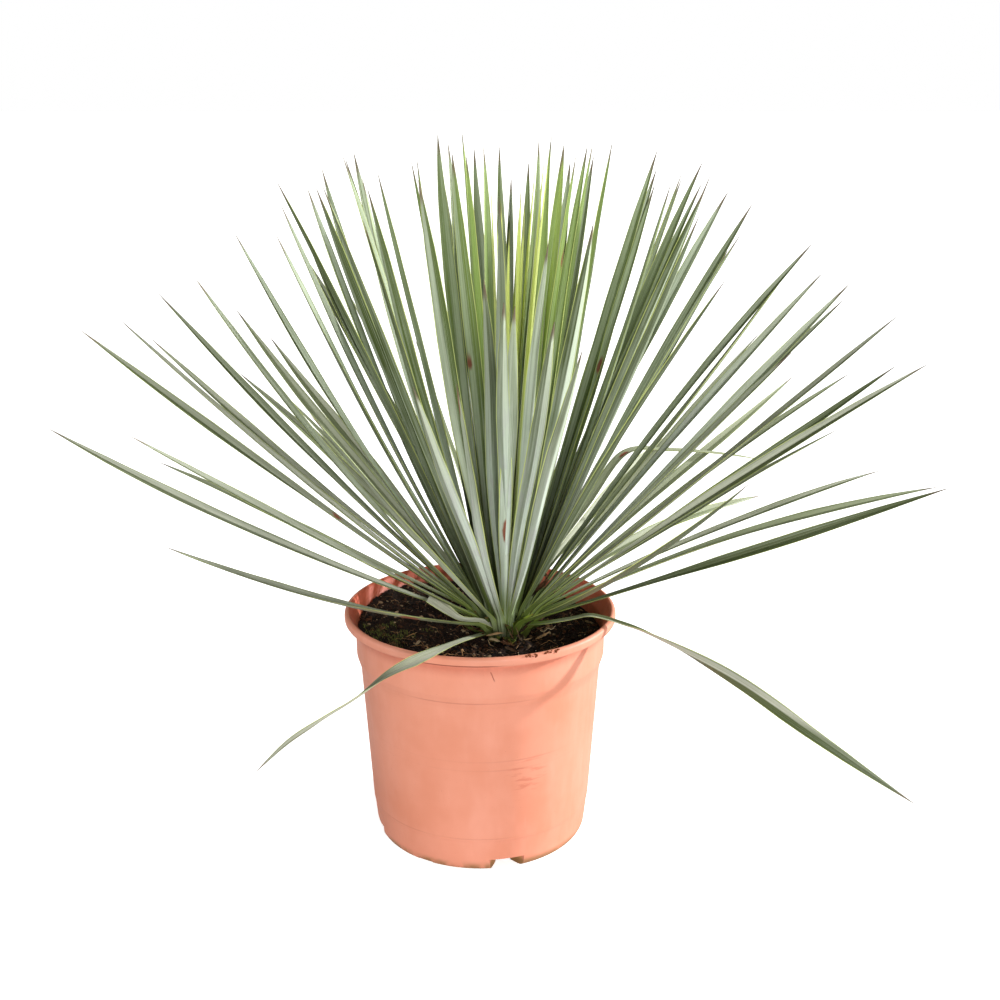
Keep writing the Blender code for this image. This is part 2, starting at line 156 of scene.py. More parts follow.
class Nodes:
    # Short names for adding and linking the nodes of one tree
    def __init__(self, tree):
        self.tree = tree

    def feed(self, node, inputs):
        # Each input takes a value, a socket, a number or a colour in hex digits
        for key, given in inputs.items():
            given = getattr(given, "socket", given)
            if isinstance(given, bpy.types.NodeSocket):
                self.tree.links.new(given, node.inputs[key])
            else:
                node.inputs[key].default_value = hexColour(given) if isinstance(given, str) else given

    def add(self, kind, inputs, *outputs, **settings):
        # Adds a node and returns the outputs asked for, or the first one
        node = self.tree.nodes.new("ShaderNode" + kind)
        for key, setting in settings.items():
            setattr(node, key, setting)
        self.feed(node, inputs)
        values = [Value(self, node.outputs[output]) for output in outputs or (0,)]
        return values if len(values) > 1 else values[0]

    def math(self, operation, a, b=0.0):
        return self.add("Math", {0: a, 1: b}, operation=operation)

    def coats(self, colour, *layers):
        # Each layer, a mask and a colour, is laid over the ones before it
        for mask, cover in layers:
            colour = self.add("Mix", {0: mask, 6: colour, 7: cover}, 2, data_type="RGBA")
        return colour

    def ramp(self, value, low, high, toLow=0.0, toHigh=1.0):
        inputs = {"Value": value, "From Min": low, "From Max": high, "To Min": toLow, "To Max": toHigh}
        return self.add("MapRange", inputs, interpolation_type="SMOOTHSTEP")

    def near(self, value, middle, far, close, *ends):
        # Full where the value is close to the middle, fading out far from it
        return self.ramp(self.math("ABSOLUTE", value - middle), far, close, *ends)

    def noise(self, vector, scale, detail=3.0, roughness=0.55):
        inputs = {"Vector": vector, "Scale": scale, "Detail": detail, "Roughness": roughness}
        return self.add("TexNoise", inputs, "Fac")

    def attribute(self, name):
        return self.add("Attribute", {}, "Fac", attribute_name=name)

    def streaks(self, scales, detail, roughness=0.6):
        # Noise drawn out by the scales across and along a leaf, and different for each tint
        parts = [self.attribute(name) * scale for name, scale in zip(("across", "along", "tint"), scales)]
        return self.noise(self.add("CombineXYZ", dict(enumerate(parts))), 1.0, detail, roughness)

    def objectPlace(self, scale=(1, 1, 1)):
        return self.add("Mapping", {"Vector": self.add("TexCoord", {}, "Object"), "Scale": scale})

    def bump(self, height, strength, distance, below=None):
        # below is the bump that this one is laid on
        inputs = {"Height": height, "Strength": strength, "Distance": distance}
        return self.add("Bump", inputs if below is None else {**inputs, "Normal": below})

    def surface(self, inputs):
        self.feed(self.tree.nodes["Principled BSDF"], inputs)


def newMaterial(name):
    material = bpy.data.materials.new(name)
    material.use_nodes = True
    return material, Nodes(material.node_tree)


# Pot

potForm = {
    "rimRadius": 0.105,
    "rimTopRadius": 0.1022,
    "lipDrop": 0.007,
    "collarRadius": 0.0963,
    "collarBottom": 0.147,
    "bodyTopRadius": 0.0932,
    "bodyTop": 0.138,
    "bodyBottomRadius": 0.0858,
    "bodyBottom": 0.027,
    "footRadius": 0.0795,
    "footRingInner": 0.070,
    "wall": 0.002,
    "floorUnderside": 0.014,
    "floorTop": 0.0162,
    "bossRadius": 0.020,
    "columns": 288,
    "sharpAngle": 40,
    "notchTurn": 14.5,
    "notchHeight": 0.0097,
    "notchOuterWidth": 0.026,
    "notchTopWidth": 0.021,
    "notchInnerWidth": 0.009,
    "slotTurn": 59,
    "slotWidth": 0.013,
    "slotHeight": 0.0019,
    "drainRadius": 0.005,
    "drainReach": 0.006,
    "drainCircle": 0.058,
}

# Each line has its height, its strength, and its middle and reach from left to right; most are mould lines, two are
# painted shade
potLook = {
    "base": "#d98d72",
    "warm": "#d28467",
    "pale": "#e3a08a",
    "inside": "#c25a3c",
    "grime": "#7c4a33",
    "worn": "#b98c54",
    "roughness": 0.50,
    # The first line is painted shade under the step of the collar and the last is painted shade under the lip
    "mouldAndShadeLines": [(0.1432, 0.30, -0.006, 0.050), (0.0944, 0.20, 0.012, 0.050), (0.0871, 0.18, 0.004, 0.045),
                   (0.0284, 0.20, -0.030, 0.060), (0.1767, 1.0, -0.020, 0.042)],
    "rubPlace": (0.036, -0.082, 0.0800),
    "scratchTop": (0.0089, 0.1685),
    "scratchEnd": (0.0118, 0.1607),
}


def potProfile():
    # Half section from the middle of the floor, up the inside, over the lip, down the outside and under
    p = potForm
    rim, collar, body, low = p["rimRadius"], p["collarRadius"], p["bodyTopRadius"], p["bodyBottomRadius"]
    ledge, shoulder, foot, wall = p["collarBottom"], p["bodyTop"], p["bodyBottom"], p["wall"]
    floor, under, ring, boss = p["floorTop"], p["floorUnderside"], p["footRingInner"], p["bossRadius"]
    lip = plant["potHeight"] - p["lipDrop"]
    inside = [
        (0.0, floor), (low - wall - 0.0035, floor), (low - wall - 0.0009, floor + 0.0023), (body - wall, shoulder),
        (collar - wall - 0.0008, ledge - 0.0015), (collar - wall, ledge + 0.0005),
        (collar - wall + 0.0004, lip - 0.005), (0.0968, lip - 0.0008), (0.0986, lip + 0.0024),
        (0.0998, lip + 0.0050), (0.1009, lip + 0.0064),
    ]
    outside = [
        (p["rimTopRadius"], plant["potHeight"]), (0.1035, lip + 0.0066), (0.1046, lip + 0.0056),
        (rim, lip + 0.0041), (rim, lip + 0.0010), (rim - 0.0006, lip), (collar + 0.0020, lip - 0.0002),
        (collar + 0.0009, lip - 0.0014), (collar + 0.0003, lip - 0.004), (collar, ledge + 0.0014),
        (collar - 0.0008, ledge - 0.001),
        (body + 0.0006, shoulder + 0.0025), (body, shoulder), (low, foot), (low - 0.0005, foot - 0.0012),
        (low - 0.0022, 0.010), (low - 0.0028, 0.0045), (low - 0.0045, 0.0013), (p["footRadius"], 0.0),
    ]
    underneath = [(ring + 0.0005, 0.0), (ring, 0.001), (ring, under), (boss + 0.0015, under), (boss, 0.0), (0.0, 0.0)]
    return np.array(inside + outside + underneath)


def roundedProfile(profile, longest):
    # Each corner is cut twice towards its neighbours, then long runs are split so that no step is too long
    for cut in range(2):
        here, after = profile[:-1], profile[1:]
        reach = np.minimum(0.25, 0.0009 / np.maximum(np.linalg.norm(after - here, axis=1), 1e-9))[:, None]
        pairs = np.stack([here + reach * (after - here), after - reach * (after - here)], 1).reshape(-1, 2)
        profile = np.vstack([profile[:1], pairs[1:-1], profile[-1:]])
    points = [profile[0]]
    for start, end in zip(profile, profile[1:]):
        pieces = max(1, int(math.ceil(np.linalg.norm(end - start) / longest)))
        points += [start + (end - start) * k / pieces for k in range(1, pieces + 1)]
    return np.array(points)


def turnedSurface(profile, columns):
    # The profile turned round +Z: radius times cosine and sine of the turn, at the profile's height
    turn = np.linspace(0, 2 * math.pi, columns, endpoint=False)
    ring = profile[1:-1]
    x, y = ring[:, :1] * np.cos(turn), ring[:, :1] * np.sin(turn)
    points = np.stack([x, y, np.broadcast_to(ring[:, 1:], x.shape)], -1).reshape(-1, 3)
    first = np.full(columns, len(points))
    here = np.arange(columns)
    after = (here + 1) % columns
    base = len(points) - columns
    caps = [np.stack([first, after, here], -1), np.stack([first + 1, base + here, base + after], -1)]
    points = np.vstack([points, [(0, 0, profile[0, 1]), (0, 0, profile[-1, 1])]])
    return points, ringQuads(len(ring), columns), np.vstack(caps)


def wedgeCutter(name, inner, outer, nearWidth, farWidthLow, farWidthHigh, depth, bearing):
    # Eight corners at two radii: the width grows from the inner end to the outer end
    outward, aside = direction(bearing), direction(bearing + 90)
    corners = [radius * outward + side * width / 2 * aside + np.array([0, 0, height])
               for radius, widths in ((inner, (nearWidth, nearWidth)), (outer, (farWidthLow, farWidthHigh)))
               for side in (-1, 1) for height, width in zip((-depth, depth), widths)]
    faces = [(0, 1, 3, 2), (4, 6, 7, 5), (0, 4, 5, 1), (2, 3, 7, 6), (0, 2, 6, 4), (1, 5, 7, 3)]
    mesh = bpy.data.meshes.new(name)
    mesh.from_pydata(corners, [], faces)
    return mesh


def cutMesh(mesh, cutters):
    # Booleans on a throwaway object; what comes back is the finished mesh
    body = addObject("cutting_body", mesh)
    helpers = [addObject(cutter.name, cutter) for cutter in cutters]
    for helper in helpers:
        boolean = body.modifiers.new(helper.name, "BOOLEAN")
        boolean.operation = "DIFFERENCE"
        boolean.object = helper
    done = bpy.data.meshes.new_from_object(body.evaluated_get(bpy.context.evaluated_depsgraph_get()))
    for helper in helpers + [body]:
        bpy.data.objects.remove(helper)
    return done


def potMaterial():
    material, n = newMaterial("terracotta_plastic")
    look = potLook
    place = n.objectPlace()
    x, y, z = n.add("SeparateXYZ", {0: place}, "X", "Y", "Z")
    radius = n.math("SQRT", x * x + y * y)
    broad = n.noise(place, 17.0, 3.0, 0.6)
    cloudy = n.noise(n.objectPlace((38, 38, 14)), 1.0, 3.0, 0.6)
    fine = n.noise(place, 260.0, 3.0)
    rubbed = n.noise(n.objectPlace((170, 170, 22)), 1.0, 4.0, 0.7)
    broken = n.ramp(n.noise(place, 26.0, 1.0), 0.30, 0.60, 0.25, 1.0)
    # Mould lines on the wall, and painted shade lines under the collar's step and under the lip
    linesAndShade = 0.0
    for height, strength, middle, reach in look["mouldAndShadeLines"]:
        fade = n.near(x, middle, reach, 0.6 * reach, 0.15, 1.0) * broken
        linesAndShade = n.math("MAXIMUM", n.near(z, height, 0.0008, 0.0002) * strength * fade, linesAndShade)
    rub = n.ramp(n.add("VectorMath", {0: place, 1: look["rubPlace"]}, "Value", operation="DISTANCE"), 0.020, 0.008)
    rub = rub * n.ramp(n.noise(n.objectPlace((70, 70, 420)), 1.0, 3.0), 0.50, 0.64)
    (topX, topZ), (endX, endZ) = look["scratchTop"], look["scratchEnd"]
    fromTop = x - (topZ - z) * ((endX - topX) / (topZ - endZ))
    scratch = n.near(fromTop, topX, 0.0006, 0.0002) * n.ramp(z, endZ, endZ + 0.002)
    scratch = scratch * n.ramp(z, topZ + 0.001, topZ) * n.ramp(y, 0.0, -0.02)
    wall = z * 0.067 + 0.0835 + n.ramp(z, 0.139, 0.147, 0.0, 0.0019) + n.ramp(z, 0.1745, 0.1755, 0.0, 0.0045)
    inner = n.ramp(wall - radius, -0.0002, 0.0008) * n.ramp(z, 0.030, 0.036)
    worn = n.ramp(radius, 0.0822, 0.0806) * n.ramp(z, 0.0125, 0.0110)
    edgeDirt = n.ramp(z, 0.0090, 0.0030) * n.ramp(cloudy, 0.40, 0.56, 0.05, 0.85)
    soilLine = n.ramp(z, 0.180, 0.166) * inner * 0.85 * n.ramp(broad, 0.3, 0.6, 0.4, 1.0)
    specks = n.ramp(n.noise(place, 900.0, 1.0), 0.745, 0.80) * 0.30
    dirt = n.math("MINIMUM", specks + soilLine, 1.0) * n.ramp(fine, 0.25, 0.6, 0.4, 1.0)
    colour = n.coats(
        look["base"], (n.ramp(broad, 0.36, 0.66), look["warm"]), (n.ramp(cloudy, 0.40, 0.75) * 0.30, look["pale"]),
        (n.ramp(rubbed, 0.60, 0.82) * 0.22, look["pale"]), (linesAndShade, "#8f4630"), (rub * 0.40, "#b4553a"),
        (scratch * 0.75, "#8a4632"), (inner, look["inside"]), (worn * 0.75, look["worn"]), (edgeDirt, "#8a6538"),
        (dirt, look["grime"]))
    relief = n.bump(fine * 0.25 + cloudy, 0.12, 0.0010)
    relief = n.bump(n.math("MAXIMUM", linesAndShade, scratch) * -1.0, 0.6, 0.0004, relief)
    roughness = n.ramp(rubbed, 0.3, 0.8, look["roughness"], look["roughness"] + 0.14)
    n.surface({"Base Color": colour, "Roughness": roughness, "Normal": relief})
    return material


def makePot():
    p = potForm
    inner, outer, near = p["footRingInner"], p["footRadius"], p["notchInnerWidth"]
    spread = (outer + 0.008 - inner + 0.002) / (outer - inner)
    low = near + spread * (2 * p["notchOuterWidth"] - p["notchTopWidth"] - near)
    high = near + spread * (p["notchTopWidth"] - near)
    radius, reach = p["drainRadius"], p["drainReach"]
    drain, *drainFaces = turnedSurface(np.array([(0, reach), (radius, reach), (radius, -reach), (0, -reach)]), 24)
    cutters = []
    for quarter in range(4):
        notch, slot = (270 + p[turn] + 90 * quarter for turn in ("notchTurn", "slotTurn"))
        middle = direction(notch) * p["drainCircle"] + np.array([0, 0, p["floorUnderside"]])
        cutters += [
            wedgeCutter("notch", inner - 0.002, outer + 0.008, near, low, high, p["notchHeight"], notch),
            wedgeCutter("slot", inner - 0.004, outer + 0.01, *[p["slotWidth"]] * 3, p["slotHeight"], slot),
            meshFrom("drain", drain + middle, 50, *drainFaces),
        ]
    points, *faces = turnedSurface(roundedProfile(potProfile(), 0.006), p["columns"])
    mesh = cutMesh(meshFrom("pot_shell", points, p["sharpAngle"], *faces), cutters)
    mesh.shade_smooth()
    mesh.set_sharp_from_angle(angle=math.radians(p["sharpAngle"]))
    addPiece("pot_shell", mesh, potMaterial(), "pot_plastic", "pot")


# Soil

soilForm = {
    "top": 0.1660,
    "tiltX": -0.045,
    "tiltY": 0.030,
    "heap": 0.0028,
    "dip": 0.0058,
    "dipReach": 0.050,
    "relief": 0.0012,
    "gap": 0.0003,
    "rings": 230,
    "columns": 360,
    "crumbs": 2600,
    "clearOfStem": 0.019,
    "fibres": 420,
    "fibreReach": 0.088,
    "frontFibres": 90,
    "frontChips": 150,
}

soilLook = {
    "dark": "#0d0502",
    "mid": "#241208",
    "warm": "#482a16",
    "fleck": "#765f47",
    "paleCrumb": "#a08a6c",
    "grit": "#e6e0d2",
    "rimCrumb": "#7d4227",
}


def soilTopHeight(x, y):
    # The slope, the heap at the back left, the slow mounds and the dip round the stem, added up,
    # with four sizes of lumps on them, each smaller and lower than the last
    s = soilForm
    heap = s["heap"] * np.exp(-((x + 0.07) ** 2 + (y - 0.05) ** 2) / 0.05 ** 2)
    dip = s["dip"] * np.exp(-((x - plant["stemX"]) ** 2 + y ** 2) / s["dipReach"] ** 2)
    mounds = s["relief"] * np.sin(95 * x + 1.3) * np.cos(83 * y - 0.6)
    lumps = 0.0013 * latticeNoise(x, y, 0.011, 21) + 0.0009 * np.abs(latticeNoise(x, y, 0.005, 22))
    crumbs = 0.00075 * latticeNoise(x, y, 0.0023, 23) + 0.0004 * latticeNoise(x, y, 0.0011, 24)
    return s["top"] + (s["tiltX"] * x + s["tiltY"] * y + heap + mounds - dip) + lumps + crumbs


def onSoil(x, y, lift=0.0):
    return np.stack([x, y, soilTopHeight(x, y) + lift], -1)


def discPlaces(draw, reach, count):
    # Evenly spread random places in a disc round the pot's axis
    radius = reach * np.sqrt(draw.uniform(0, 1, count))
    turn = draw.uniform(0, 2 * math.pi, count)
    return radius * np.cos(turn), radius * np.sin(turn)


def soilMaterial(name, useShade):
    # useShade reads each crumb's own shade from the mesh
    material, n = newMaterial(name)
    look = soilLook
    place = n.objectPlace()
    clods = n.noise(place, 160.0, 4.0, 0.65)
    grains = n.noise(place, 900.0, 2.0, 0.6)
    flecks = n.ramp(n.noise(place, 1500.0, 1.0), 0.76, 0.80)
    colour = n.coats(look["dark"], (n.ramp(clods, 0.38, 0.66), look["mid"]),
                     (n.ramp(grains, 0.55, 0.72) * 0.6, look["warm"]), (flecks, look["fleck"]))
    if useShade:
        shade = n.attribute("shade")
        colour = n.coats(colour, (n.ramp(shade, 0.0, 0.6), look["warm"]),
                         (n.ramp(shade, 0.62, 0.95), look["paleCrumb"]), (n.ramp(shade, 1.5, 2.0), look["grit"]),
                         (n.ramp(shade, -0.3, -0.8, 0.0, 0.9), look["rimCrumb"]))
    relief = n.bump(grains, 0.6, 0.0006, n.bump(clods, 0.5, 0.0012))
    n.surface({"Base Color": colour, "Roughness": 0.92, "Specular IOR Level": 0.25, "Normal": relief})
    return material


def makeSoil():
    # A polar grid for the top, closed by the side and the bottom that the packed soil has
    p, s = potForm, soilForm
    inset = p["wall"] + s["gap"]
    upper, middle = p["collarRadius"] - inset, p["bodyTopRadius"] - inset
    lower, bottom = p["bodyBottomRadius"] - 0.0009 - inset, p["floorTop"] + s["gap"]
    topProfile = np.stack([upper * np.linspace(0, 1, s["rings"]) ** 0.9, np.full(s["rings"], s["top"])], -1)
    side = [(upper, p["collarBottom"] + 0.0007), (upper - 0.0008, p["collarBottom"] - 0.0015),
            (middle, p["bodyTop"]), (lower, p["floorTop"] + 0.0025), (lower - 0.0028, bottom), (0.0, bottom)]
    points, *faces = turnedSurface(np.vstack([topProfile, side]), s["columns"])
    top = points[:, 2] > s["top"] - 0.001
    points[top] = onSoil(points[top, 0], points[top, 1])
    mesh = meshFrom("soil_body", points, 80, *faces)
    addPiece("soil_body", mesh, soilMaterial("potting_soil", False), "potting_soil", "soil")


def unitLump():
    # Twelve corners of an icosahedron and its twenty faces
    g = (1 + math.sqrt(5)) / 2
    corners = np.array([(-1, g, 0), (1, g, 0), (-1, -g, 0), (1, -g, 0), (0, -1, g), (0, 1, g), (0, -1, -g),
                        (0, 1, -g), (g, 0, -1), (g, 0, 1), (-g, 0, -1), (-g, 0, 1)]) / math.sqrt(1 + g * g)
    faces = np.array([(0, 11, 5), (0, 5, 1), (0, 1, 7), (0, 7, 10), (0, 10, 11), (1, 5, 9), (5, 11, 4),
                      (11, 10, 2), (10, 7, 6), (7, 1, 8), (3, 9, 4), (3, 4, 2), (3, 2, 6), (3, 6, 8), (3, 8, 9),
                      (4, 9, 5), (2, 4, 11), (6, 2, 10), (8, 6, 7), (9, 8, 1)])
    return corners, faces


def scatterLumps(name, places, sizes, stretch, shades, draw, finish):
    # Every lump is the unit lump, dented at random, scaled on three axes, turned and moved to its place
    corners, faces = unitLump()
    count = len(places)
    dents = draw.uniform(0.72, 1.15, (count, len(corners), 1))
    scales = sizes[:, None, None] * np.stack([stretch, np.ones(count), draw.uniform(0.45, 0.9, count)], -1)[:, None]
    x, y, z = np.moveaxis(corners * dents * scales, 2, 0)
    turn = draw.uniform(0, 2 * math.pi, (count, 1))
    tilt = draw.uniform(-0.5, 0.5, (count, 1))
    x, z = x * np.cos(tilt) + z * np.sin(tilt), z * np.cos(tilt) - x * np.sin(tilt)
    x, y = x * np.cos(turn) - y * np.sin(turn), x * np.sin(turn) + y * np.cos(turn)
    points = np.stack([x, y, z], -1) + places[:, None]
    mesh = meshFrom(name, points, 60, repeated(faces, count, len(corners)))
    addPiece(name, mesh, *finish, shade=np.repeat(shades, len(corners)))


def makeCrumbs(finish):
    draw = np.random.default_rng(31)
    x, y = discPlaces(draw, plant["soilReach"], soilForm["crumbs"])
    clear = np.hypot(x - plant["stemX"], y) > soilForm["clearOfStem"]
    x, y = x[clear], y[clear]
    sizes = 0.0005 + 0.0014 * draw.uniform(0, 1, len(x)) ** 2.6
    stretch = draw.uniform(1.0, 2.6, len(x))
    places = onSoil(x, y, 0.15 * sizes)
    shades = draw.uniform(0, 1, len(x)) ** 2.2 * 0.95
    paleGrit = draw.uniform(0, 1, len(x)) > 0.996
    shades[paleGrit] = 1.7
    sizes[paleGrit] = 0.0006
    scatterLumps("soil_crumbs", places, sizes, stretch, shades, draw, finish)
    chips = soilForm["frontChips"]
    x, y = draw.normal(-0.012, 0.020, chips), draw.normal(-0.078, 0.009, chips)
    inside = np.hypot(x, y) < plant["soilReach"]
    x, y = x[inside], y[inside]
    sizes = 0.0004 + 0.0009 * draw.uniform(0, 1, len(x)) ** 2
    scatterLumps("pale_chips", onSoil(x, y, 0.0004), sizes, draw.uniform(1.0, 3.2, len(x)),
                 draw.uniform(0.6, 1.1, len(x)), draw, finish)


def makeRimCrumbs(finish):
    # The few crumbs that lie on the front of the rim, and one pale grain on the soil behind it
    draw = np.random.default_rng(37)
    bearings = np.concatenate([draw.normal(292.3, 1.2, 9), draw.normal(300.4, 1.9, 11)])
    out = draw.uniform(0.0014, 0.0029, len(bearings))
    places = (potForm["rimTopRadius"] + out)[:, None] * direction(bearings)
    places[:, 2] = plant["potHeight"] + 0.0001 - 240 * out ** 2
    places = np.vstack([places, onSoil(0.069, -0.036, 0.0012)])
    sizes = np.append(draw.uniform(0.0005, 0.0013, len(bearings)), 0.0021)
    shades = np.append(draw.uniform(-1.0, -0.8, len(bearings)), 2.0)
    scatterLumps("rim_crumbs", places, sizes, draw.uniform(1, 1.6, len(sizes)), shades, draw, finish)


def tubeStrands(name, paths, radii, sides, shades, finish):
    # A round section of a few sides carried along each path, narrowed to a point at both ends
    count, steps = paths.shape[:2]
    along = unit(np.gradient(paths, axis=1))
    across = unit(np.cross(along, np.array([0.13, 0.21, 0.97])))
    turn = np.linspace(0, 2 * math.pi, sides, endpoint=False)[:, None]
    taper = np.clip(np.minimum(np.linspace(0.05, 3, steps), np.linspace(3, 0.05, steps)), 0, 1)
    ring = across[:, :, None] * np.cos(turn) + np.cross(along, across)[:, :, None] * np.sin(turn)
    points = paths[:, :, None] + ring * (radii[:, None] * taper)[:, :, None, None]
    stride = steps * sides
    fan = np.array([(0, k + 1, k) for k in range(1, sides - 1)])
    ends = np.vstack([fan[:, ::-1], fan + stride - sides])
    mesh = meshFrom(name, points, 80, repeated(ringQuads(steps, sides), count, stride), repeated(ends, count, stride))
    addPiece(name, mesh, *finish, shade=np.repeat(shades, stride))


def fibreMaterial():
    material, n = newMaterial("root_fibre")
    blotches = n.ramp(n.noise(n.objectPlace(), 500.0), 0.4, 0.7)
    colour = n.coats("#4b311d", (n.ramp(n.attribute("shade"), 0.0, 1.0), "#b08658"), (blotches * 0.4, "#5d3f28"))
    n.surface({"Base Color": colour, "Roughness": 0.8})
    return material


def fibrePaths(starts, steps):
    # Each path walks forward on the soil while its bearing turns steadily, and lifts off in the middle
    x, y, bearings, lengths, curls, lifts = (column[:, None] for column in starts)
    t = np.linspace(0, 1, steps)
    heading = bearings + curls * (t - 0.5)
    step = lengths / (steps - 1)
    x = x + np.cumsum(np.cos(heading) * step, axis=1)
    y = y + np.cumsum(np.sin(heading) * step, axis=1)
    pull = np.minimum(1, plant["soilReach"] / np.maximum(np.hypot(x, y), 1e-9))
    return onSoil(x * pull, y * pull, 0.0003 + lifts * np.sin(math.pi * t))


def makeFibres(finish):
    draw = np.random.default_rng(41)
    count, front = soilForm["fibres"], soilForm["frontFibres"]
    x, y = discPlaces(draw, soilForm["fibreReach"], count)
    x[:front] = draw.normal(-0.012, 0.018, front)
    y[:front] = draw.normal(-0.066, 0.012, front)
    lengths = draw.uniform(0.003, 0.014, count)
    bearings = draw.uniform(0, 2 * math.pi, count)
    curls, lifts = draw.uniform(-3, 3, count), draw.uniform(0, 0.0016, count)
    paths = fibrePaths([x, y, bearings, lengths, curls, lifts], 10)
    radii = draw.uniform(0.00008, 0.00026, count)
    tubeStrands("soil_fibres", paths, radii, 4, draw.uniform(0, 1, count) ** 1.4, finish)


# The few thick pale roots that lie on the soil at the front: x, y, bearing, length, turn, lift, radius
surfaceRoots = [
    (-0.030, -0.072, 0.9, 0.020, -1.2, 0.0024, 0.00050), (-0.036, -0.060, -0.5, 0.024, 0.8, 0.0016, 0.00045),
    (0.004, -0.080, 0.5, 0.022, -2.2, 0.0040, 0.00065), (0.016, -0.079, 2.6, 0.016, 1.2, 0.0020, 0.00050),
    (-0.018, -0.078, 1.9, 0.014, -0.8, 0.0026, 0.00040), (0.046, -0.030, 0.3, 0.016, -1.6, 0.0018, 0.00026),
    (0.052, -0.040, 0.9, 0.012, 1.4, 0.0014, 0.00028), (-0.010, -0.046, 4.6, 0.014, 1.2, 0.0030, 0.00050),
    (-0.060, -0.030, 0.8, 0.017, 1.0, 0.0012, 0.00035), (-0.048, -0.042, -0.8, 0.016, -1.0, 0.0014, 0.00035),
]


def makeRoots(finish):
    *starts, radii = np.array(surfaceRoots).T
    paths = fibrePaths(starts, 18)
    wander = [latticeNoise(paths[:, :, 0], paths[:, :, 1], 0.004, seed) for seed in (51, 52, 53)]
    paths = paths + 0.0007 * np.stack(wander, -1)
    tubeStrands("surface_roots", paths, radii, 8, np.linspace(0.75, 1.0, len(radii)), finish)


# Moss

mossLook = {
    "clumps": 26,
    "tufts": 900,
    "reach": 0.0915,
    "clumpSize": 0.0022,
    "sunk": 0.0003,
    "dark": "#23260c",
    "light": "#7c8134",
}


def makeMoss():
    # Thin three-sided spikes that lean outwards in clumps on the left of the soil
    draw = np.random.default_rng(61)
    look = mossLook
    clumps, tufts = look["clumps"], look["tufts"]
    middles = np.stack([draw.normal(-0.070, 0.011, clumps), draw.normal(-0.026, 0.013, clumps)])
    x, y = middles[:, draw.integers(0, clumps, tufts)] + draw.normal(0, look["clumpSize"], (2, tufts))
    inside = np.hypot(x, y) < look["reach"]
    foot = onSoil(x[inside], y[inside])
    count = len(foot)
    heights = draw.uniform(0.0008, 0.0026, (count, 1))
    lean = draw.normal(0, 0.5, (count, 2)) * heights
    turn = draw.uniform(0, 360, count)
    corners = [foot + (0.00022 + 0.0001 * draw.uniform(0, 1, (count, 1))) * direction(turn + k * 120)
               - np.array([0, 0, look["sunk"]]) for k in range(3)]
    points = np.stack(corners + [foot + np.hstack([lean, heights])], 1)
    faces = np.array([(0, 1, 3), (1, 2, 3), (2, 0, 3), (0, 2, 1)])
    material, n = newMaterial("moss")
    n.surface({"Base Color": n.coats(look["dark"], (n.attribute("shade"), look["light"])), "Roughness": 0.8})
    addPiece("soil_moss", meshFrom("soil_moss", points, 30, repeated(faces, count, 4)), material, "potting_soil",
             shade=np.repeat(draw.uniform(0, 1, count), 4))


# Leaves

leafForm = {
    "stations": 44,
    "bentStations": 84,
    "baseStations": 9,
    "baseDrop": 0.013,
    "joinAlong": 0.045,
    "sheathOut": 0.0005,
    "elbowOut": 0.0050,
    "thickness": 0.0012,
    "slimmer": 0.90,
    "lowRise": 30,
    "steepRise": 58,
    "wobble": 0.0012,
    "places": [0, 0.02, 0.05, 0.10, 0.28, 0.50, 0.70, 0.87, 0.95, 1],
    "lowWidths": [1.30, 1.00, 0.56, 0.42, 0.68, 1.02, 0.94, 0.56, 0.26, 0.04],
    "steepWidths": [1.30, 1.00, 0.62, 0.58, 0.84, 1.06, 1.06, 0.72, 0.36, 0.05],
    "channels": [1.20, 1.00, 0.85, 0.72, 0.55, 0.48, 0.50, 0.55, 0.60, 0.60],
}

# Brown scars: the aim of the leaf, place along it, place across it, length as a share of the leaf
leafScars = [
    ((271.4, 53), 0.360, 0.0, 0.040), ((263, 46), 0.96, 0.0, 0.060), ((231, 24), 0.30, 0.3, 0.040),
    ((247.8, 75.5), 0.60, -0.7, 0.018), ((218, 33), 0.26, 0.2, 0.030), ((320, 69), 0.62, 0.3, 0.022),
    ((340, 77), 0.80, 0.2, 0.024), ((2, 34), 0.55, 0.4, 0.012), ((190, 38), 0.38, -0.4, 0.012),
    ((120, 60), 0.50, 0.1, 0.020), ((70, 66), 0.70, 0.0, 0.014), ((20, 50), 0.60, 0.4, 0.012),
]

# Bearing, rise, reach in millimetres and arc in degrees of each leaf that makes the outline
leftLeaves = [
    (231, 24, 345, 14), (191, 27, 366, 12), (218, 33, 350, 4), (169, 37, 350, 6), (190, 38, 380, 6),
    (187, 41, 364, 8), (145, 38, 350, 4), (136, 33, 340, 2), (186, 46, 356, 8), (198, 51, 350, 14),
    (183, 57, 354, 12), (136, 50, 350, 6), (211, 60, 350, 8), (179, 63, 354, 10), (172, 66, 356, 10),
    (178, 69, 364, 12), (130, 60, 350, 2), (196, 73, 352, 10), (178, 73, 367, 10), (246, 39, 350, 6),
    (263.6, 43.5, 345, 6),
]
rightLeaves = [
    (336, 24, 350, 2), (5, 16, 352, -14), (22, 29, 350, -8), (2, 34, 352, 4), (350, 35, 366, -4),
    (298, 32, 345, 14), (352, 41, 368, 2), (313, 44, 350, 2), (5, 44, 352, -2), (354, 47, 359, 2),
    (355, 50, 352, -2), (36, 50, 350, 2), (356, 53, 362, -8), (311, 54, 350, -4), (333, 60, 350, -4),
    (358, 61, 361, -4), (359, 64, 361, -8), (1, 67, 358, -4), (359, 68, 372, -4), (331, 71, 352, 4),
    (2, 73, 368, 0), (67, 54, 350, 0), (46, 4, 350, -22), (60, 13, 350, -20),
]
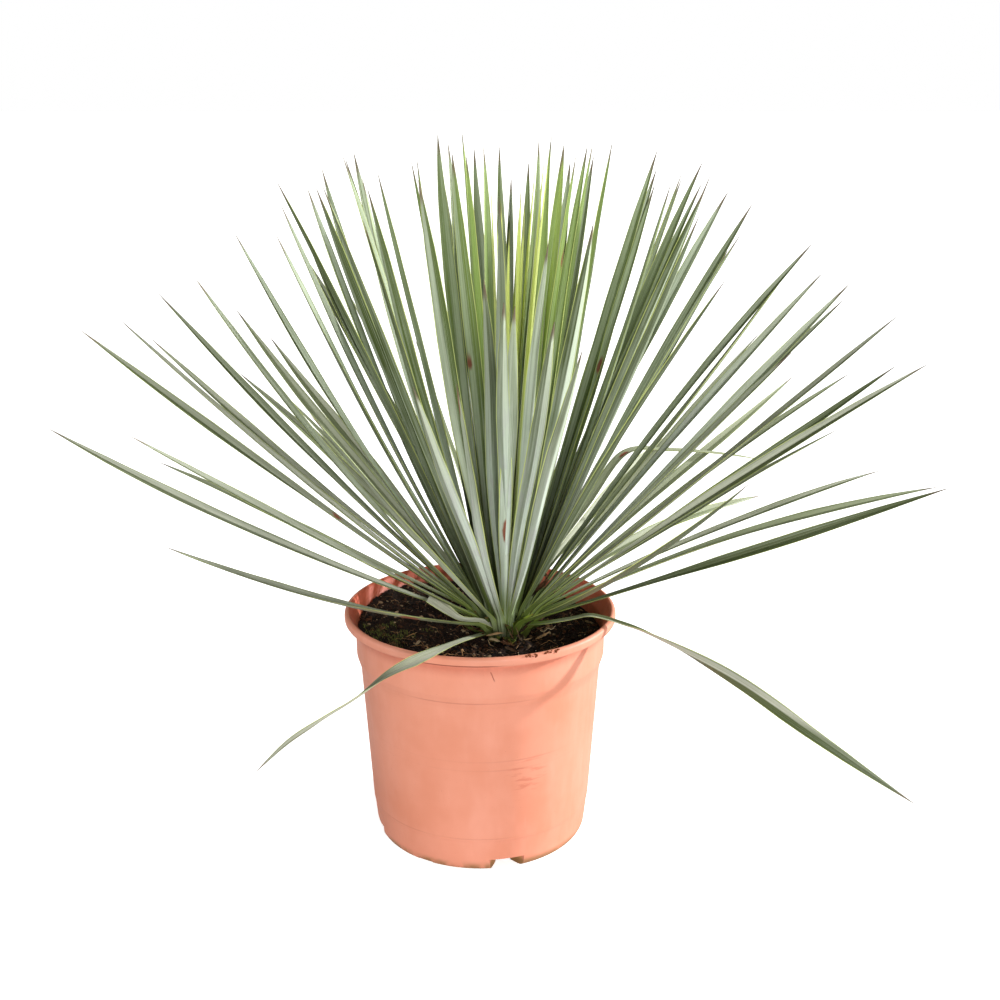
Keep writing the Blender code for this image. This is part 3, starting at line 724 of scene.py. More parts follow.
frontLeaves = [
    (266.2, 55.5, 350, 0), (269.6, 52.5, 350, 0), (271.4, 53, 344, 2), (277, 50, 350, 0), (278.6, 61, 350, -2),
    (280.2, 46.5, 350, 0), (247.8, 75.5, 366, 0), (305.6, 79.5, 362, 0), (258, 43, 345, 6),
    (227, 70.5, 364, 5), (229, 68, 360, 7),
]
heartLeaves = [
    (350, 85.4, 352), (12, 86.3, 344), (22, 87.2, 322), (330, 87.9, 313), (200, 88.8, 309), (190, 88.2, 332),
    (60, 86, 298), (282, 87.2, 300), (5, 84.9, 356), (300, 86.2, 330), (318, 86.6, 306), (250, 88.4, 320),
]
palerLeaves = [(5, 16), (22, 29)]
greenLeaves = [(336, 24), (2, 34), (298, 32)]

# The rosette seen from the front has gaps: the middle and half width in degrees of each, round the fan
fanGaps = [(103.9, 2.1), (73.6, 2.0), (115.3, 1.5), (62.6, 2.8), (127.0, 2.0)]
frontRise = 16.65

# Leaves that bend sharply: the route in millimetres, then width and turn in degrees at shares of the length.
# The cut leaf ends early, so it has only a part of the span of a whole leaf's colours.
# Each leaf's facet number gives one facet a painted sheen and the other painted shade
bentLeaves = {
    "droopLeft": {
        "route": [(8, -8, 163), (0, -20, 166), (-12, -47, 173), (-27, -93, 185), (-44, -119, 187),
                  (-61, -136, 184), (-82, -152, 174), (-103, -168, 166), (-124, -183, 157), (-144, -193, 141)],
        "width": 0.0098, "tint": 0.60, "facet": 0.3, "channel": 0.30,
        "turns": [(0, -5), (0.3, -6), (0.4, -23), (0.46, -25), (0.55, -2), (0.6, 18), (0.65, 35), (0.70, 37),
                  (0.78, 58), (0.82, 71), (0.89, 86), (1, 83)],
        "shares": [(0, 0.60), (0.15, 0.55), (0.30, 0.75), (0.45, 1), (0.65, 0.75), (0.85, 0.52), (0.95, 0.24),
                   (1, 0.03)],
    },
    "droopRight": {
        "route": [(28, -6, 169), (48, -21, 176), (70, -29, 183), (81, -33, 187), (90, -36, 187), (105, -42, 184.5),
                  (130, -52, 178), (188, -78, 154), (241, -95, 121), (279, -107, 97), (313, -118, 76)],
        "width": 0.0112, "tint": 0.30, "facet": -0.8, "channel": 0.42, "greenFrom": 0.74,
        "turns": [(0, 14), (0.2, 13), (0.4, 6), (0.52, -1), (0.58, -20), (0.60, -28), (0.63, -50), (0.65, -66),
                  (0.67, -82), (0.70, -100), (0.75, -116), (0.82, -132), (1, -140)],
        "shares": [(0, 0.55), (0.1, 0.50), (0.40, 0.52), (0.60, 0.70), (0.68, 0.92), (0.76, 1), (0.86, 0.72),
                   (0.95, 0.30), (1, 0.03)],
    },
    "backBent": {
        "route": [(22, 3, 178), (50, 36, 204), (85, 74, 240), (119, 110, 275), (160, 126, 274), (204, 143, 267),
                  (246, 160, 257)],
        "width": 0.0095, "tint": 0.5, "pale": 0.8, "facet": 0.2, "channel": 0.45, "scars": [(0, 0.5, 0.0, 0.02)],
        "turns": [(0, 0), (1, 15)],
        "shares": [(0, 0.7), (0.08, 0.55), (0.28, 0.80), (0.50, 1), (0.70, 0.75), (0.87, 0.42), (0.95, 0.2),
                   (1, 0.03)],
    },
    "cut_leaf": {
        "route": [(14, -9, 166), (11.5, -17, 171), (5.4, -21, 176.7), (-1.4, -24, 180.4), (-14.2, -28, 183.2),
                  (-26.2, -29, 192.1), (-38.1, -30, 201.3)],
        "width": 0.0086, "tint": 0.5, "facet": 0.0, "channel": 0.30, "thickness": 0.0013, "stations": 30,
        "span": (0.1, 0.8),
        "turns": [(0, -30), (0.33, -50), (0.5, -60), (0.67, -66), (0.83, -76), (1, -77)],
        "shares": [(0, 0.5), (0.17, 0.5), (0.33, 0.55), (0.5, 0.42), (0.67, 0.50), (0.83, 0.90), (1, 1.0)],
    },
}


def fanAngle(aim):
    # Where this aim shows in the fan for a viewer a little above the front, in degrees from the right
    lift = math.radians(frontRise)
    return math.degrees(math.atan2(math.cos(lift) * aim[2] + math.sin(lift) * aim[1], aim[0]))


def rosetteLeaves():
    # The outline leaves, then two seeded spirals that fill the top and the back, then the front leaves.
    # Each row is bearing, rise, reach, arc, swing, width, roll and twist.
    draw = random.Random(plant["seed"])
    leaves = []

    def addPlaced(placed, swings, rolls, twists):
        for bearing, rise, reach, arc in placed:
            toward = 1 if math.cos(math.radians(bearing)) > 0 else -1
            leaves.append((bearing, rise, reach, arc, draw.uniform(-swings, swings), draw.uniform(0.010, 0.012),
                           draw.uniform(-rolls, rolls), toward * draw.uniform(*twists)))

    addPlaced(leftLeaves + rightLeaves, 5, 12, (20, 75))
    taken = [direction(*leaf[:2]) for leaf in leaves + frontLeaves]

    def addSpiral(count, tries, spacing, place, arcs, twists):
        # A try is left out where it crowds another leaf, hides the heart or closes a gap
        enough = len(leaves) + count
        for k in range(tries):
            bearing, rise = place(k)
            leaf = (bearing, rise, draw.uniform(350, 378), draw.uniform(*arcs), draw.uniform(-5, 5),
                    draw.uniform(0.0095, 0.012), draw.uniform(-15, 15), draw.uniform(-twists, twists))
            aim = direction(bearing, rise)
            hidesHeart = rise > 64 and 250 < bearing < 312
            crowded = np.max(np.array(taken) @ aim) > math.cos(math.radians(spacing))
            inGap = any(abs(fanAngle(aim) - middle) < half for middle, half in fanGaps)
            if len(leaves) < enough and not (crowded or hidesHeart or inGap):
                taken.append(aim)
                leaves.append(leaf)

    def topPlace(k):
        return (k * plant["goldenAngle"]) % 360, 83 - 23 * ((k % 70) / 70) ** 0.8 + draw.uniform(-1.5, 1.5)

    def backPlace(k):
        return 25 + (k * plant["goldenAngle"]) % 130, 12 + 48 * ((k * 0.618) % 1)

    addSpiral(46, 400, 3.8, topPlace, (-4, 8), 50)
    addSpiral(20, 300, 7.5, backPlace, (-12, 6), 60)
    addPlaced(frontLeaves, 2, 8, (-15, 25))
    return np.array(leaves)


def straightRoutes(leaves, startRadii, along):
    # A straight line from the crown to each tip, bowed by a parabola in the leaf's own plane
    bearings, rises, reaches, arcs, swings = leaves[:, :5].T
    aims, sides = direction(bearings, rises), direction(bearings + 90)
    crown = np.array([plant["stemX"], 0, plant["crownZ"]])
    starts = crown + np.reshape(startRadii, (-1, 1)) * direction(bearings)
    starts[:, 2] += 0.006 * aims[:, 2] - 0.004
    chords = crown + reaches[:, None] / 1000 * aims - starts
    lengths = np.linalg.norm(chords, axis=1, keepdims=True)
    ups = np.cross(sides, chords / lengths)
    ups *= np.where(ups[:, 2:] < 0, -1, 1)
    pull = lengths / 2 * (np.radians(arcs)[:, None] * ups + np.radians(swings)[:, None] * sides)
    t = along[:, None]
    return starts[:, None] + t * chords[:, None] - t * (1 - t) * pull[:, None]


def bentRoute(points, along):
    # A Catmull-Rom curve through the route's points, given back as the only one of a set of routes
    points = np.array(points) / 1000
    padded = np.vstack([2 * points[0] - points[1], points, 2 * points[-1] - points[-2]])
    spans = len(points) - 1
    span = np.minimum((along * spans).astype(int), spans - 1)
    u = (along * spans - span)[:, None]
    a, b, c, d = (padded[span + k] for k in range(4))
    curve = 2 * b + (c - a) * u + (2 * a - 5 * b + 4 * c - d) * u ** 2 + (3 * b - 3 * c + d - a) * u ** 3
    return 0.5 * curve[None]


def withSheath(routes, along, drop):
    # Replaces the start of each route by a curve that comes up along the stem and bends into the blade
    form = leafForm
    join = form["joinAlong"]
    late = along >= join
    k = np.argmax(late) - 1
    joinPoint = routes[:, k] + (join - along[k]) / (along[k + 1] - along[k]) * (routes[:, k + 1] - routes[:, k])
    starts = routes[:, 0]
    outward = unit((starts - np.array([plant["stemX"], 0, 0])) * np.array([1, 1, 0]))
    down = np.array([0, 0, 1.0]) * drop[:, None]
    root = starts + form["sheathOut"] * outward - down
    elbow = starts + form["elbowOut"] * outward - 0.25 * down
    early = np.linspace(0, join, form["baseStations"], endpoint=False)
    u = (early / join)[:, None]
    bend = (1 - u) ** 2 * root[:, None] + 2 * u * (1 - u) * elbow[:, None] + u ** 2 * joinPoint[:, None]
    return np.concatenate([bend, routes[:, late]], axis=1), np.concatenate([early, along[late]])


def bladeSurface(routes, along, widths, turns, thickness, shares, channels):
    # A closed thin section carried along each route. Its middle line is a V whose arms rise towards the
    # leaf's upper side, and its thickness falls from the keel to the edges and from the foot to the tip.
    count, stations = routes.shape[:2]
    tangents = unit(np.gradient(routes, axis=1))
    level = unit(np.cross(np.array([0, 0, 1.0]), tangents))
    turn = np.radians(turns)[..., None]
    side = level * np.cos(turn) + np.cross(tangents, level) * np.sin(turn)
    normal = np.cross(tangents, side)
    topSide = np.array([-1, -0.93, -0.50, -0.08, 0, 0.08, 0.50, 0.93])
    across = np.concatenate([topSide, -topSide])
    section, far = len(across), len(topSide)
    facing = np.repeat([1.0, -1.0], far)
    facing[[0, far]] = 0
    half = np.reshape(widths, (-1, 1)) * shares / 2
    spread = half / np.sqrt(1 + np.square(channels))
    depth = thickness * (1 - 0.5 * along) / 2 * np.minimum(1, half / 0.0016)
    x = spread[..., None] * across
    z = (spread * channels)[..., None] * np.abs(across) + depth[..., None] * (1 - 0.72 * across ** 2) * facing
    points = routes[:, :, None] + side[:, :, None] * x[..., None] + normal[:, :, None] * z[..., None]
    stride = stations * section
    end = stride - section
    ladder = np.array([(k, k + 1, section - 1 - k, section - k) for k in range(1, far - 1)])
    corners = np.array([(0, 1, section - 1), (far, far + 1, far - 1)])
    caps, ends = (np.vstack([shape, shape[:, ::-1] + end]) for shape in (ladder, corners))
    faces = [repeated(part, count, stride) for part in (ringQuads(stations, section)[:, ::-1], caps, ends)]
    return points, faces, np.broadcast_to(across, points.shape[:3]), np.broadcast_to(along[:, None], points.shape[:3])


# Two of these marks carry painted light: one darkens the foot of inner leaves as painted shade, one gives one facet a
# painted sheen and the other painted shade
leafMarks = ["tint", "pale", "young", "deep", "facet", "dusk", "age"]


def addLeaves(name, surface, finish, scars=(), span=(0, 1), **marks):
    # A mark has one value for all leaves, for each leaf or for each point. The others are nought.
    points, faces, across, along = surface
    along = span[0] + (span[1] - span[0]) * along
    values = {"along": along, "across": across, "scar": np.zeros(along.shape)}
    for leaf, place, side, length in scars:
        values["scar"][leaf] = np.exp(-((along[leaf] - place) / length) ** 2 - ((across[leaf] - side) / 0.5) ** 2)
    for key in leafMarks:
        value = np.asarray(marks.get(key, 0.0))
        values[key] = np.broadcast_to(value if value.ndim == 3 else value.reshape(-1, 1, 1), along.shape)
    addPiece(name, meshFrom(name, points, 60, *faces), *finish, **values)


leafColours = {
    "Blade": "#3d4b15",
    "Bloom": "#c2ceb3",
    "Young": "#90aa54",
    "Bright": "#b4ca60",
    "Margin": "#c4cf76",
    "Tip": "#6a5a44",
}

youngColours = {
    "Blade": "#aabb5e",
    "Bloom": "#cfd9a2",
    "Young": "#c9d863",
    "Bright": "#dde887",
    "Margin": "#e6ecae",
    "Tip": "#8c8a52",
}


def leafGroup():
    # Colour, roughness and ribs of a leaf from where a point lies along and across it
    group = bpy.data.node_groups.new("leaf_surface", "ShaderNodeTree")
    for key in leafColours:
        group.interface.new_socket(key, in_out="INPUT", socket_type="NodeSocketColor")
    for key, kind in (("Color", "Color"), ("Roughness", "Float"), ("Height", "Float")):
        group.interface.new_socket(key, in_out="OUTPUT", socket_type="NodeSocket" + kind)
    n = Nodes(group)
    given = group.nodes.new("NodeGroupInput").outputs
    along, across, scar = (n.attribute(name) for name in ("along", "across", "scar"))
    tint, pale, young, deep, facet, dusk, age = (n.attribute(name) for name in leafMarks)
    edge = n.math("ABSOLUTE", across)
    ribs = n.streaks((17.0, 2.2, 37.0), 2.5)
    patches = n.streaks((1.3, 11.0, 53.0), 3.0)
    wide = n.streaks((2.6, 3.0, 71.0), 2.0)
    bloomAndSheen = n.ramp(along, 0.90, 0.15) * 0.30 + n.ramp(patches, 0.30, 0.70, -0.05, 0.10)
    bloomAndSheen = bloomAndSheen + n.ramp(wide, 0.32, 0.68, -0.06, 0.18) + tint * 0.58
    # Painted sheen on one half of the V and painted shade on the other half
    bloomAndSheen = bloomAndSheen + facet * n.ramp(across, -0.12, 0.12, -0.65, 0.65)
    blue = n.ramp(tint, 0.62, 1.10) * n.ramp(along, 0.95, 0.45)
    wax = n.coats(given["Bloom"], (blue * 0.80, "#c3d1c6"), (blue * n.ramp(patches, 0.50, 0.60, 0.0, 0.55), "#b4b4b6"),
                  (age * 0.85, "#bebcae"))
    fresh = young * n.ramp(along, 0.30, 0.72, 0.12, 0.92)
    bright = (young - 1.0) * n.ramp(along, 0.45, 0.75)
    # Painted shade in a line along each side, just inside the margin
    paintedGrooveShade = n.ramp(edge, 0.72, 0.82) * n.ramp(wide, 0.65, 0.35, 0.10, 0.50)
    rim = n.ramp(edge, 0.885, 0.930) * n.ramp(wide, 0.35, 0.65, 0.50, 1.0)
    # Painted shade, near black, towards the foot of leaves that stand deep in the rosette
    paintedShadeMask = dusk * n.ramp(along, 0.46, 0.06)
    foot = n.ramp(along, 0.190, 0.050) * n.ramp(wide, 0.35, 0.7, 0.50, 0.95) * (1.0 - paintedShadeMask * 0.9)
    rust = n.ramp(along, 0.040, 0.008) * n.ramp(ribs, 0.42, 0.60, 0.35, 0.95)
    tip = n.ramp(along + patches * 0.03, 0.962, 0.995)
    scarMask = n.ramp(scar, 0.25, 0.6) * n.ramp(ribs + scar * 0.35, 0.45, 0.65)
    # Among these coats the wax coat also carries the painted sheen and shade of the facets, and the dark line inside
    # the margin and the near-black towards the foot are painted shade
    colour = n.coats(
        given["Blade"], (bloomAndSheen, wax), (age * 0.22, "#858168"), (deep * 0.85, "#434f22"), (fresh, given["Young"]),
        (bright, given["Bright"]), (n.ramp(ribs, 0.50, 0.74) * 0.50, given["Bloom"]),
        (n.ramp(ribs, 0.50, 0.26) * 0.48, "#37431c"), (pale * 0.60, "#a9b48c"), (paintedGrooveShade, "#3c481f"),
        (rim, given["Margin"]), (paintedShadeMask * 0.80, "#1b230b"), (foot, "#6a7f2e"), (rust, "#2c2410"),
        (tip * 0.9, given["Tip"]), (scarMask, "#85503c"))
    roughness = n.ramp(bloomAndSheen, 0.0, 1.0, 0.42, 0.60)
    n.feed(group.nodes.new("NodeGroupOutput"), {"Color": colour, "Roughness": roughness, "Height": ribs})
    return group


def leafMaterial(name, group, colours):
    material, n = newMaterial(name)
    colour, roughness, height = n.add("Group", {}, "Color", "Roughness", "Height", node_tree=group)
    n.feed(colour.socket.node, colours)
    n.surface({"Base Color": colour, "Roughness": roughness, "Normal": n.bump(height, 0.35, 0.0003),
               "Specular IOR Level": 0.35})
    return material


def makeRosette(finish):
    leaves = rosetteLeaves()
    bearings, rises = leaves[:, :2].T
    widths, rolls, twists = leaves[:, 5:].T
    draw = np.random.default_rng(71)
    count = len(leaves)
    form = leafForm
    along = np.concatenate([np.linspace(0, 0.9, form["stations"] - 8), np.linspace(0.915, 1, 8)])
    forward, aside = np.cos(np.radians(bearings)), np.sin(np.radians(bearings))
    flatness = np.cos(np.radians(rises))
    routes = straightRoutes(leaves, 0.0105 + 0.0065 * flatness, along)
    sway = np.sin(math.pi * along) * np.sin(2 * math.pi * along + draw.uniform(0, 6.3, (count, 1)))
    routes = routes + form["wobble"] * sway[:, :, None] * direction(bearings + 90)[:, None]
    routes, along = withSheath(routes, along, form["baseDrop"] * np.clip(1.25 - rises / 120, 0.5, 1.2))
    steep = np.clip((rises - form["lowRise"]) / (form["steepRise"] - form["lowRise"]), 0, 1)[:, None]
    low, high, channels = (np.interp(along, form["places"], form[key])
                           for key in ("lowWidths", "steepWidths", "channels"))
    shares = low + steep * (high - low)
    turns = rolls[:, None] + twists[:, None] * along
    turns += 6 * np.sin(9 * along + draw.uniform(0, 6.3, (count, 1))) * np.clip(along * 4, 0, 1)
    # Wax, youth, painted facet sheen and shade, painted shade towards the foot, and age of each leaf, by where it
    # stands in the rosette and by seeded draws
    tints = draw.uniform(0, 1, count) * np.where(forward * flatness < -0.3, 0.75, 1.0)
    youth = np.clip((rises - 66) / 14, 0, 1) * draw.uniform(0.35, 1.0, count) + 0.25 * np.clip((rises - 79) / 4, 0, 1)
    youth = youth * np.where(forward < 0, 0.70, 1.10) + 0.5 * np.clip((rises - 78) / 5, 0, 1)
    waxy = np.clip((aside + 0.75) / -0.2, 0, 1) * (rises < 66)
    tints *= np.where((rises > 42) & (waxy < 0.5), draw.choice([0.45, 1.15], count), 1.0)
    tints = np.maximum(tints, waxy * draw.uniform(0.75, 1.15, count))
    # Painted sheen on one facet and painted shade on the other, the side chosen by which way the leaf points
    facetSheenShades = np.sign(forward + 0.001) * draw.uniform(0.2, 0.8, count)
    facetSheenShades *= np.where(np.abs(forward) < 0.3, 0.8 * draw.choice([-1, 1], count), 1.0)
    depths = np.where(draw.uniform(0, 1, count) > 0.72, 0.55, 0.0) * (rises < 70)
    # Painted shade towards the foot of steep leaves, less on the waxy front leaves and right of the front
    paintedShades = np.clip((rises - 38) / 18, 0, 1) * (1 - waxy) * draw.uniform(0.3, 1.0, count)
    paintedShades *= 1 - 0.6 * np.exp(-((bearings % 360 - 305) / 26) ** 2)
    ages = np.clip((58 - rises) / 22, 0, 1) * (1 - 0.7 * waxy) * draw.uniform(0.6, 1.0, count)
    pales = np.where((aside > 0.45) & (rises < 45), 0.5, 0.0)
    aims = [tuple(leaf[:2]) for leaf in leaves]
    pales[[aims.index(aim) for aim in palerLeaves]] = 0.85
    green = [aims.index(aim) for aim in greenLeaves]
    tints[green] = 0.0
    depths[green] = 1.0
    marks = {"tint": tints, "pale": pales, "young": youth, "deep": depths, "facet": facetSheenShades, "dusk": paintedShades, "age": ages}
    scarred = [(int(np.argmax(direction(bearings, rises) @ direction(*aim))), *scar) for aim, *scar in leafScars]
    split = count // 2
    for name, part in (("rosette_leaves_a", slice(0, split)), ("rosette_leaves_b", slice(split, count))):
        surface = bladeSurface(routes[part], along, widths[part] * form["slimmer"], turns[part], form["thickness"],
                               shares[part], channels)
        scars = [(leaf - part.start, *scar) for leaf, *scar in scarred if part.start <= leaf < part.stop]
        addLeaves(name, surface, finish, scars, **{key: value[part] for key, value in marks.items()})


def makeBentLeaves(finish):
    for name, leaf in bentLeaves.items():
        along = np.linspace(0, 1, leaf.get("stations", leafForm["bentStations"]))
        turns, shares = (np.interp(along, *zip(*leaf[key])) for key in ("turns", "shares"))
        surface = bladeSurface(bentRoute(leaf["route"], along), along, leaf["width"], turns,
                               leaf.get("thickness", leafForm["thickness"]), shares, leaf["channel"])
        # From greenFrom on the leaf turns deep green, a little earlier on one side
        across, share = surface[2:]
        deep = np.clip((share + 0.05 * across - leaf.get("greenFrom", 2)) / 0.06, 0, 1)
        addLeaves(name, surface, finish, leaf.get("scars", ()), leaf.get("span", (0, 1)), tint=leaf["tint"],
                  pale=leaf.get("pale", 0.0), deep=deep, age=1.0, facet=leaf["facet"])


def makeHeart(group):
    # Each row is bearing, rise, reach, arc, swing, roll and twist
    draw = random.Random(plant["seed"] + 1)
    leaves = np.array([leaf + tuple(draw.uniform(-most, most) for most in (2, 2, 15, 30)) for leaf in heartLeaves])
    along = np.linspace(0, 1, leafForm["stations"])
    count = len(leaves)
    shares = np.interp(along, [0, 0.1, 0.4, 0.6, 0.85, 0.96, 1], [0.8, 0.75, 0.95, 1, 0.55, 0.2, 0.03])
    turns = leaves[:, 5:6] + leaves[:, 6:] * along
    surface = bladeSurface(straightRoutes(leaves, 0.0025, along), along, 0.0068, turns, 0.0009, shares, 0.7)
    addLeaves("young_leaves", surface, (leafMaterial("young_leaf", group, youngColours), "young_leaf", "heart_leaves"),
              tint=np.linspace(0.05, 0.6, count), young=1.2 + 0.8 * (np.arange(count) % 3) / 2)


# Stem and old leaf bases

stemProfile = [(0.0, 0.180), (0.006, 0.179), (0.0095, 0.175), (0.0115, 0.168), (0.0135, 0.160), (0.0150, 0.154),
               (0.0158, 0.148), (0.0155, 0.119), (0.0, 0.119)]

# Short blades round the foot of the crown: ranges of the draws, then the form.
# The tint is the first number plus up to the second, drawn to the power of the third.
oldBases = {
    "old_leaf_stubs": {
        "count": 40, "seed": 91, "reaches": (0.008, 0.024), "rises": (10, 65), "bends": (-20, 30),
        "heights": (0.157, 0.169), "widths": (0.005, 0.010), "roll": 14, "twist": 30, "curl": 0,
        "startRadius": 0.0150, "thickness": 0.0014, "channel": 0.8, "tint": (0.72, 0.28, 1),
        "shares": [(0, 1.15), (0.4, 0.85), (0.85, 0.62), (1, 0.42)],
    },
    "dry_scales": {
        "count": 46, "seed": 97, "reaches": (0.006, 0.022), "rises": (-10, 60), "bends": (-60, 40),
        "heights": (0.1565, 0.168), "widths": (0.002, 0.0075), "roll": 30, "twist": 90, "curl": 20,
        "startRadius": 0.0160, "thickness": 0.0005, "channel": 0.6, "tint": (0.0, 0.64, 1.5),
        "shares": [(0, 1.0), (0.4, 0.85), (0.8, 0.5), (1, 0.12)],
    },
}

# Dry bits round the crown: the route in millimetres, width in millimetres, roll, turn, tint and paleness of each
crownBits = {
    "papery_strip": ([(5, -25, 168), (9, -28, 170), (14, -28, 171.5), (19, -27, 171)], 2.2, 40, 70, 0.64, 0.25),
    "pale_chip": ([(7, -30, 167), (10, -32, 168), (13, -33, 167.5), (15.5, -33, 166.5)], 2.8, 60, 20, 0.70, 0.55),
    "brown_curl": ([(14, -31, 166), (17, -33, 166), (21, -35, 165.5), (25, -36, 164.5)], 2.2, 20, 60, 0.46, 0.05),
    "grey_flake": ([(19, -38, 164), (22, -40, 164), (25, -42, 163.5), (28, -44, 163)], 3.0, 70, 15, 0.50, 0.12),
    "tan_sliver": ([(33, -27, 165.5), (36, -29, 166.5), (40, -29, 168)], 1.3, 20, 40, 0.66, 0.35),
    "red_strand_a": ([(20, -20, 174), (22, -25, 172), (25, -29, 168), (27, -31, 165)], 0.8, 0, 40, 0.46, 0.12),
    "red_strand_b": ([(24, -19, 173), (25, -24, 172), (24, -28, 168), (22, -31, 165)], 0.7, 0, 40, 0.48, 0.10),
    "red_strand_c": ([(27, -22, 174), (29, -26, 171), (30, -29, 168), (33, -30, 165)], 0.7, 0, 40, 0.46, 0.20),
    "pink_root": ([(6, -30, 167), (7, -33, 166), (8, -36, 165), (11, -38, 164.5)], 0.7, 0, 60, 0.60, 0.55),
    "white_root": ([(46, -19, 170), (49, -21, 169.5), (52, -20, 172), (55, -21, 171.5), (58, -19, 174)],
                   0.9, 0, 60, 0.64, 0.95),
    "tan_flake": ([(43, -23, 164.5), (47, -24, 167), (50, -24, 169), (53, -23, 170.5)], 2.6, 50, 40, 0.64, 0.20),
}


def dryMaterial():
    material, n = newMaterial("dry_sheath")
    along, tint, pale = (n.attribute(name) for name in ("along", "tint", "pale"))
    ribs = n.streaks((9.0, 3.0, 31.0), 3.0, 0.65)
    blotch = n.noise(n.objectPlace(), 260.0, 3.0)
    colour = n.coats(
        "#24140b", (n.ramp(tint, 0.0, 0.40), "#5a3019"), (n.ramp(tint, 0.56, 0.62), "#a07a4c"),
        (n.ramp(tint, 0.68, 0.72), "#465619"), (n.ramp(tint, 0.84, 0.97), "#7d9232"),
        (n.ramp(ribs, 0.45, 0.75) * 0.34, "#9b9258"), (n.ramp(along, 0.40, 0.05) * 0.65, "#221a0c"),
        (n.ramp(along, 0.86, 1.0) * 0.6, "#6b4526"), (n.ramp(blotch, 0.50, 0.66) * 0.70, "#2a190d"),
        (pale * 0.85, "#bfae8e"))
    n.surface({"Base Color": colour, "Roughness": 0.75, "Specular IOR Level": 0.25,
               "Normal": n.bump(ribs, 0.8, 0.0006)})
    return material


def makeStem(material):
    # A short knobbly core under the leaf bases
    points, *faces = turnedSurface(roundedProfile(np.array(stemProfile), 0.002), 64)
    swell = 1 + 0.05 * latticeNoise(points[:, 0] * 9, points[:, 2] + points[:, 1] * 7, 0.03, 81)
    points[:, :2] *= swell[:, None]
    points[:, 0] += plant["stemX"]
    along, across, tint = (np.full(len(points), value) for value in (0.3, 0.3, 0.05))
    addPiece("crown_stem", meshFrom("crown_stem", points, 60, *faces), material, "dry_sheath", "leaf_rosette",
             along=along, across=across, tint=tint)


def makeOldBases(finish):
    # Short routes that leave the stem outwards, curve up or down and stay above the soil
    for name, form in oldBases.items():
        draw, count = np.random.default_rng(form["seed"]), form["count"]
        spin, reach, rise, bend = (draw.uniform(*ends, (count, 1)) for ends in
                                   ((-12, 12), form["reaches"], form["rises"], form["bends"]))
        t = np.linspace(0, 1, 16)
        angle = np.radians(rise) + np.radians(bend) * t
        step = reach / 15
        out = np.cumsum(np.cos(angle) * step, axis=1) - np.cos(angle[:, :1]) * step + form["startRadius"]
        up = np.cumsum(np.sin(angle) * step, axis=1) + draw.uniform(*form["heights"], (count, 1))
        bearings = np.radians((np.arange(count)[:, None] * plant["goldenAngle"] + spin) % 360)
        turn = bearings + draw.normal(0, 0.25, (count, 1)) * t
        x, y = plant["stemX"] + out * np.cos(turn), out * np.sin(turn)
        up = np.where(out < 0.024, up, np.maximum(up, soilTopHeight(x, y) + 0.0006))
        widths, rolls, twists = (draw.uniform(*ends, (count, 1)) for ends in
                                 (form["widths"], (-form["roll"], form["roll"]), (-form["twist"], form["twist"])))
        turns = rolls + twists * t
        if form["curl"]:
            turns += form["curl"] * np.sin(14 * t + draw.uniform(0, 6, (count, 1)))
        surface = bladeSurface(np.stack([x, y, up], -1), t, widths, turns, form["thickness"],
                               np.interp(t, *zip(*form["shares"])), form["channel"])
        least, more, power = form["tint"]
        addLeaves(name, surface, finish, tint=least + more * draw.uniform(0, 1, count) ** power)


def makeCrownBits(finish):
    # One split husk in the crown, then the small bits that lie round it
    t = np.linspace(0, 1, 16)
    husk = bentRoute([(40, -14, 196), (46, -15, 203), (50, -15, 210), (49, -14, 216)], t)
    shares = np.interp(t, [0, 0.4, 0.8, 1], [0.6, 1.0, 0.8, 0.3])
    addLeaves("dry_husk", bladeSurface(husk, t, 0.0055, 20 + 120 * t, 0.0006, shares, 1.1), finish, tint=0.25)
    t = np.linspace(0, 1, 14)
    ragged = np.interp(t, [0, 0.3, 0.45, 0.6, 0.8, 1], [0.35, 0.9, 0.7, 1.0, 0.55, 0.12])
    for name, (route, width, roll, turn, tint, pale) in crownBits.items():
        surface = bladeSurface(bentRoute(route, t), t, width / 1000, roll + turn * t, 0.0004, ragged, 0.6)
        addLeaves(name, surface, finish, span=(0.45, 0.85), tint=tint, pale=pale)


# Stage, lights and camera

# Each light has its strength, its bearing, its rise and the angle that softens it
studio = {
    "cameraPlace": (0.01535, -1.01015, 0.57059),
    "cameraPitch": 16.65,
    "lens": 50,
    "sensorWidth": 36,
    "skyStrength": 0.26,
    "lights": {"key": (4.8, 14, 18, 2.2), "fill": (2.5, 290, 12, 25), "side": (1.15, 188, 14, 40)},
    "floorReach": 30,
    "floorSeen": (0.97, 0.97, 0.97, 1),
    "floorBounce": (0.80, 0.80, 0.80, 1),
    "floorGlow": 0.74,
    "white": (1, 1, 1, 1),
}


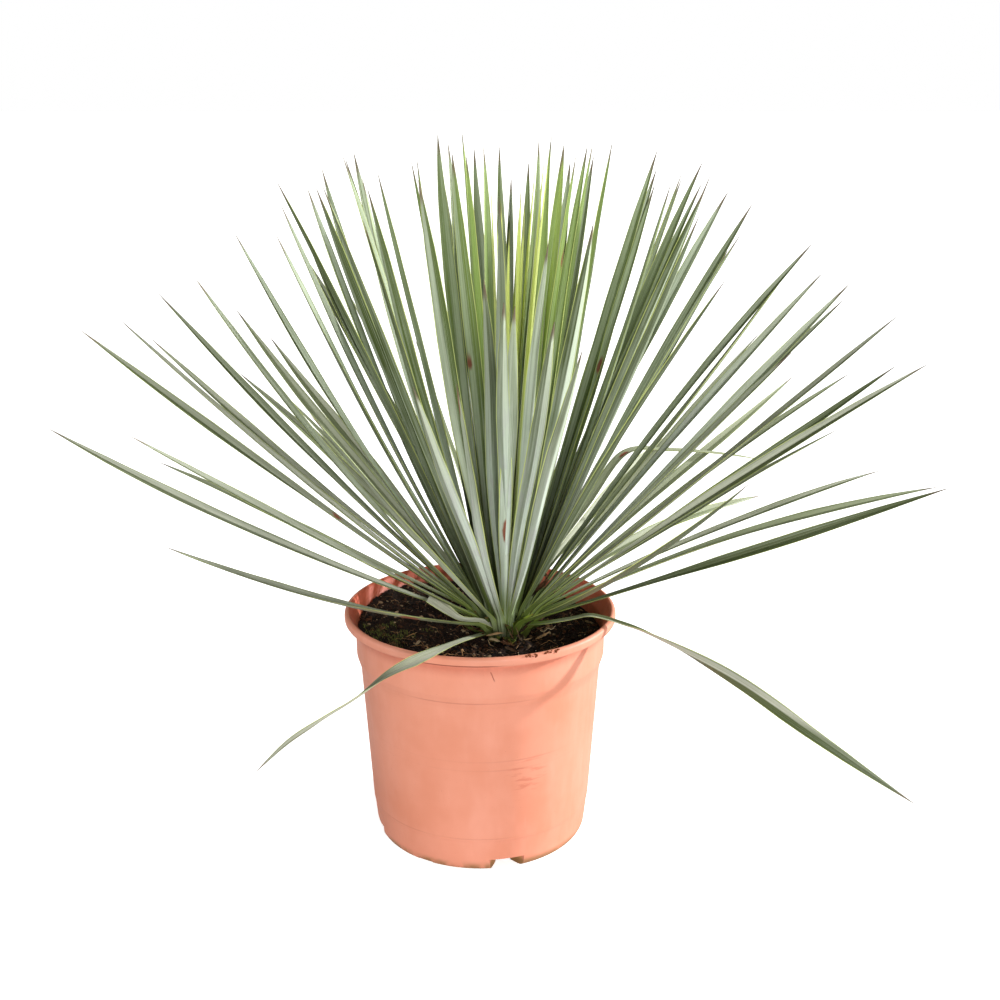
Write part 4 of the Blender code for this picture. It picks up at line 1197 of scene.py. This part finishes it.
def makeStudio():
    s, scene = studio, bpy.context.scene
    corners = s["floorReach"] * np.array([(-1, -1, 0), (1, -1, 0), (1, 1, 0), (-1, 1, 0)])
    mesh = meshFrom("studio_floor", corners, 50, np.array([(0, 1, 2, 3)]))
    material, n = newMaterial("studio_floor")
    seen = n.add("LightPath", {}, "Is Camera Ray")
    n.surface({"Base Color": n.coats(s["floorBounce"], (seen, s["floorSeen"])), "Emission Color": s["white"],
               "Emission Strength": seen * s["floorGlow"], "Roughness": 1.0, "Specular IOR Level": 0.0})
    mesh.materials.append(material)
    floor = addObject("studio_floor", mesh)
    scene.world = bpy.data.worlds.new("studio")
    scene.world.use_nodes = True
    sky = Nodes(scene.world.node_tree)
    lit = sky.tree.nodes["Background"]
    sky.feed(lit, {"Color": s["white"], "Strength": s["skyStrength"]})
    bright = sky.add("Background", {"Color": s["white"], "Strength": 1.0})
    blend = sky.add("MixShader", {0: sky.add("LightPath", {}, "Is Camera Ray"), 1: lit.outputs[0], 2: bright})
    sky.feed(sky.tree.nodes["World Output"], {"Surface": blend})
    for name, (strength, bearing, rise, angle) in s["lights"].items():
        light = bpy.data.lights.new(name + "_light", "SUN")
        light.energy = strength
        light.angle = math.radians(angle)
        lamp = addObject(name + "_light", light)
        lamp.location = direction(bearing, rise) * 2
        lamp.rotation_euler = (math.radians(90 - rise), 0, math.radians(bearing + 90))
    camera = bpy.data.cameras.new("photo_camera")
    camera.lens = s["lens"]
    camera.sensor_width = s["sensorWidth"]
    scene.camera = addObject("photo_camera", camera)
    scene.camera.location = s["cameraPlace"]
    scene.camera.rotation_euler = (math.radians(90 - s["cameraPitch"]), 0, 0)
    scene.view_settings.view_transform = "Standard"


makePot()
print("pot made")
makeSoil()
crumbFinish = (soilMaterial("soil_crumb", True), "potting_soil")
makeCrumbs(crumbFinish)
makeRimCrumbs(crumbFinish)
fibreFinish = (fibreMaterial(), "potting_soil")
makeFibres(fibreFinish)
makeRoots(fibreFinish)
makeMoss()
print("soil made")
surfaceGroup = leafGroup()
leafFinish = (leafMaterial("glaucous_leaf", surfaceGroup, leafColours), "glaucous_leaf", "leaf_rosette")
makeRosette(leafFinish)
makeBentLeaves(leafFinish)
makeHeart(surfaceGroup)
dryBrown = dryMaterial()
dryFinish = (dryBrown, "dry_sheath", "dry_leaf_bases")
makeStem(dryBrown)
makeOldBases(dryFinish)
makeCrownBits(dryFinish)
print("plant made")
makeStudio()
print("studio made")
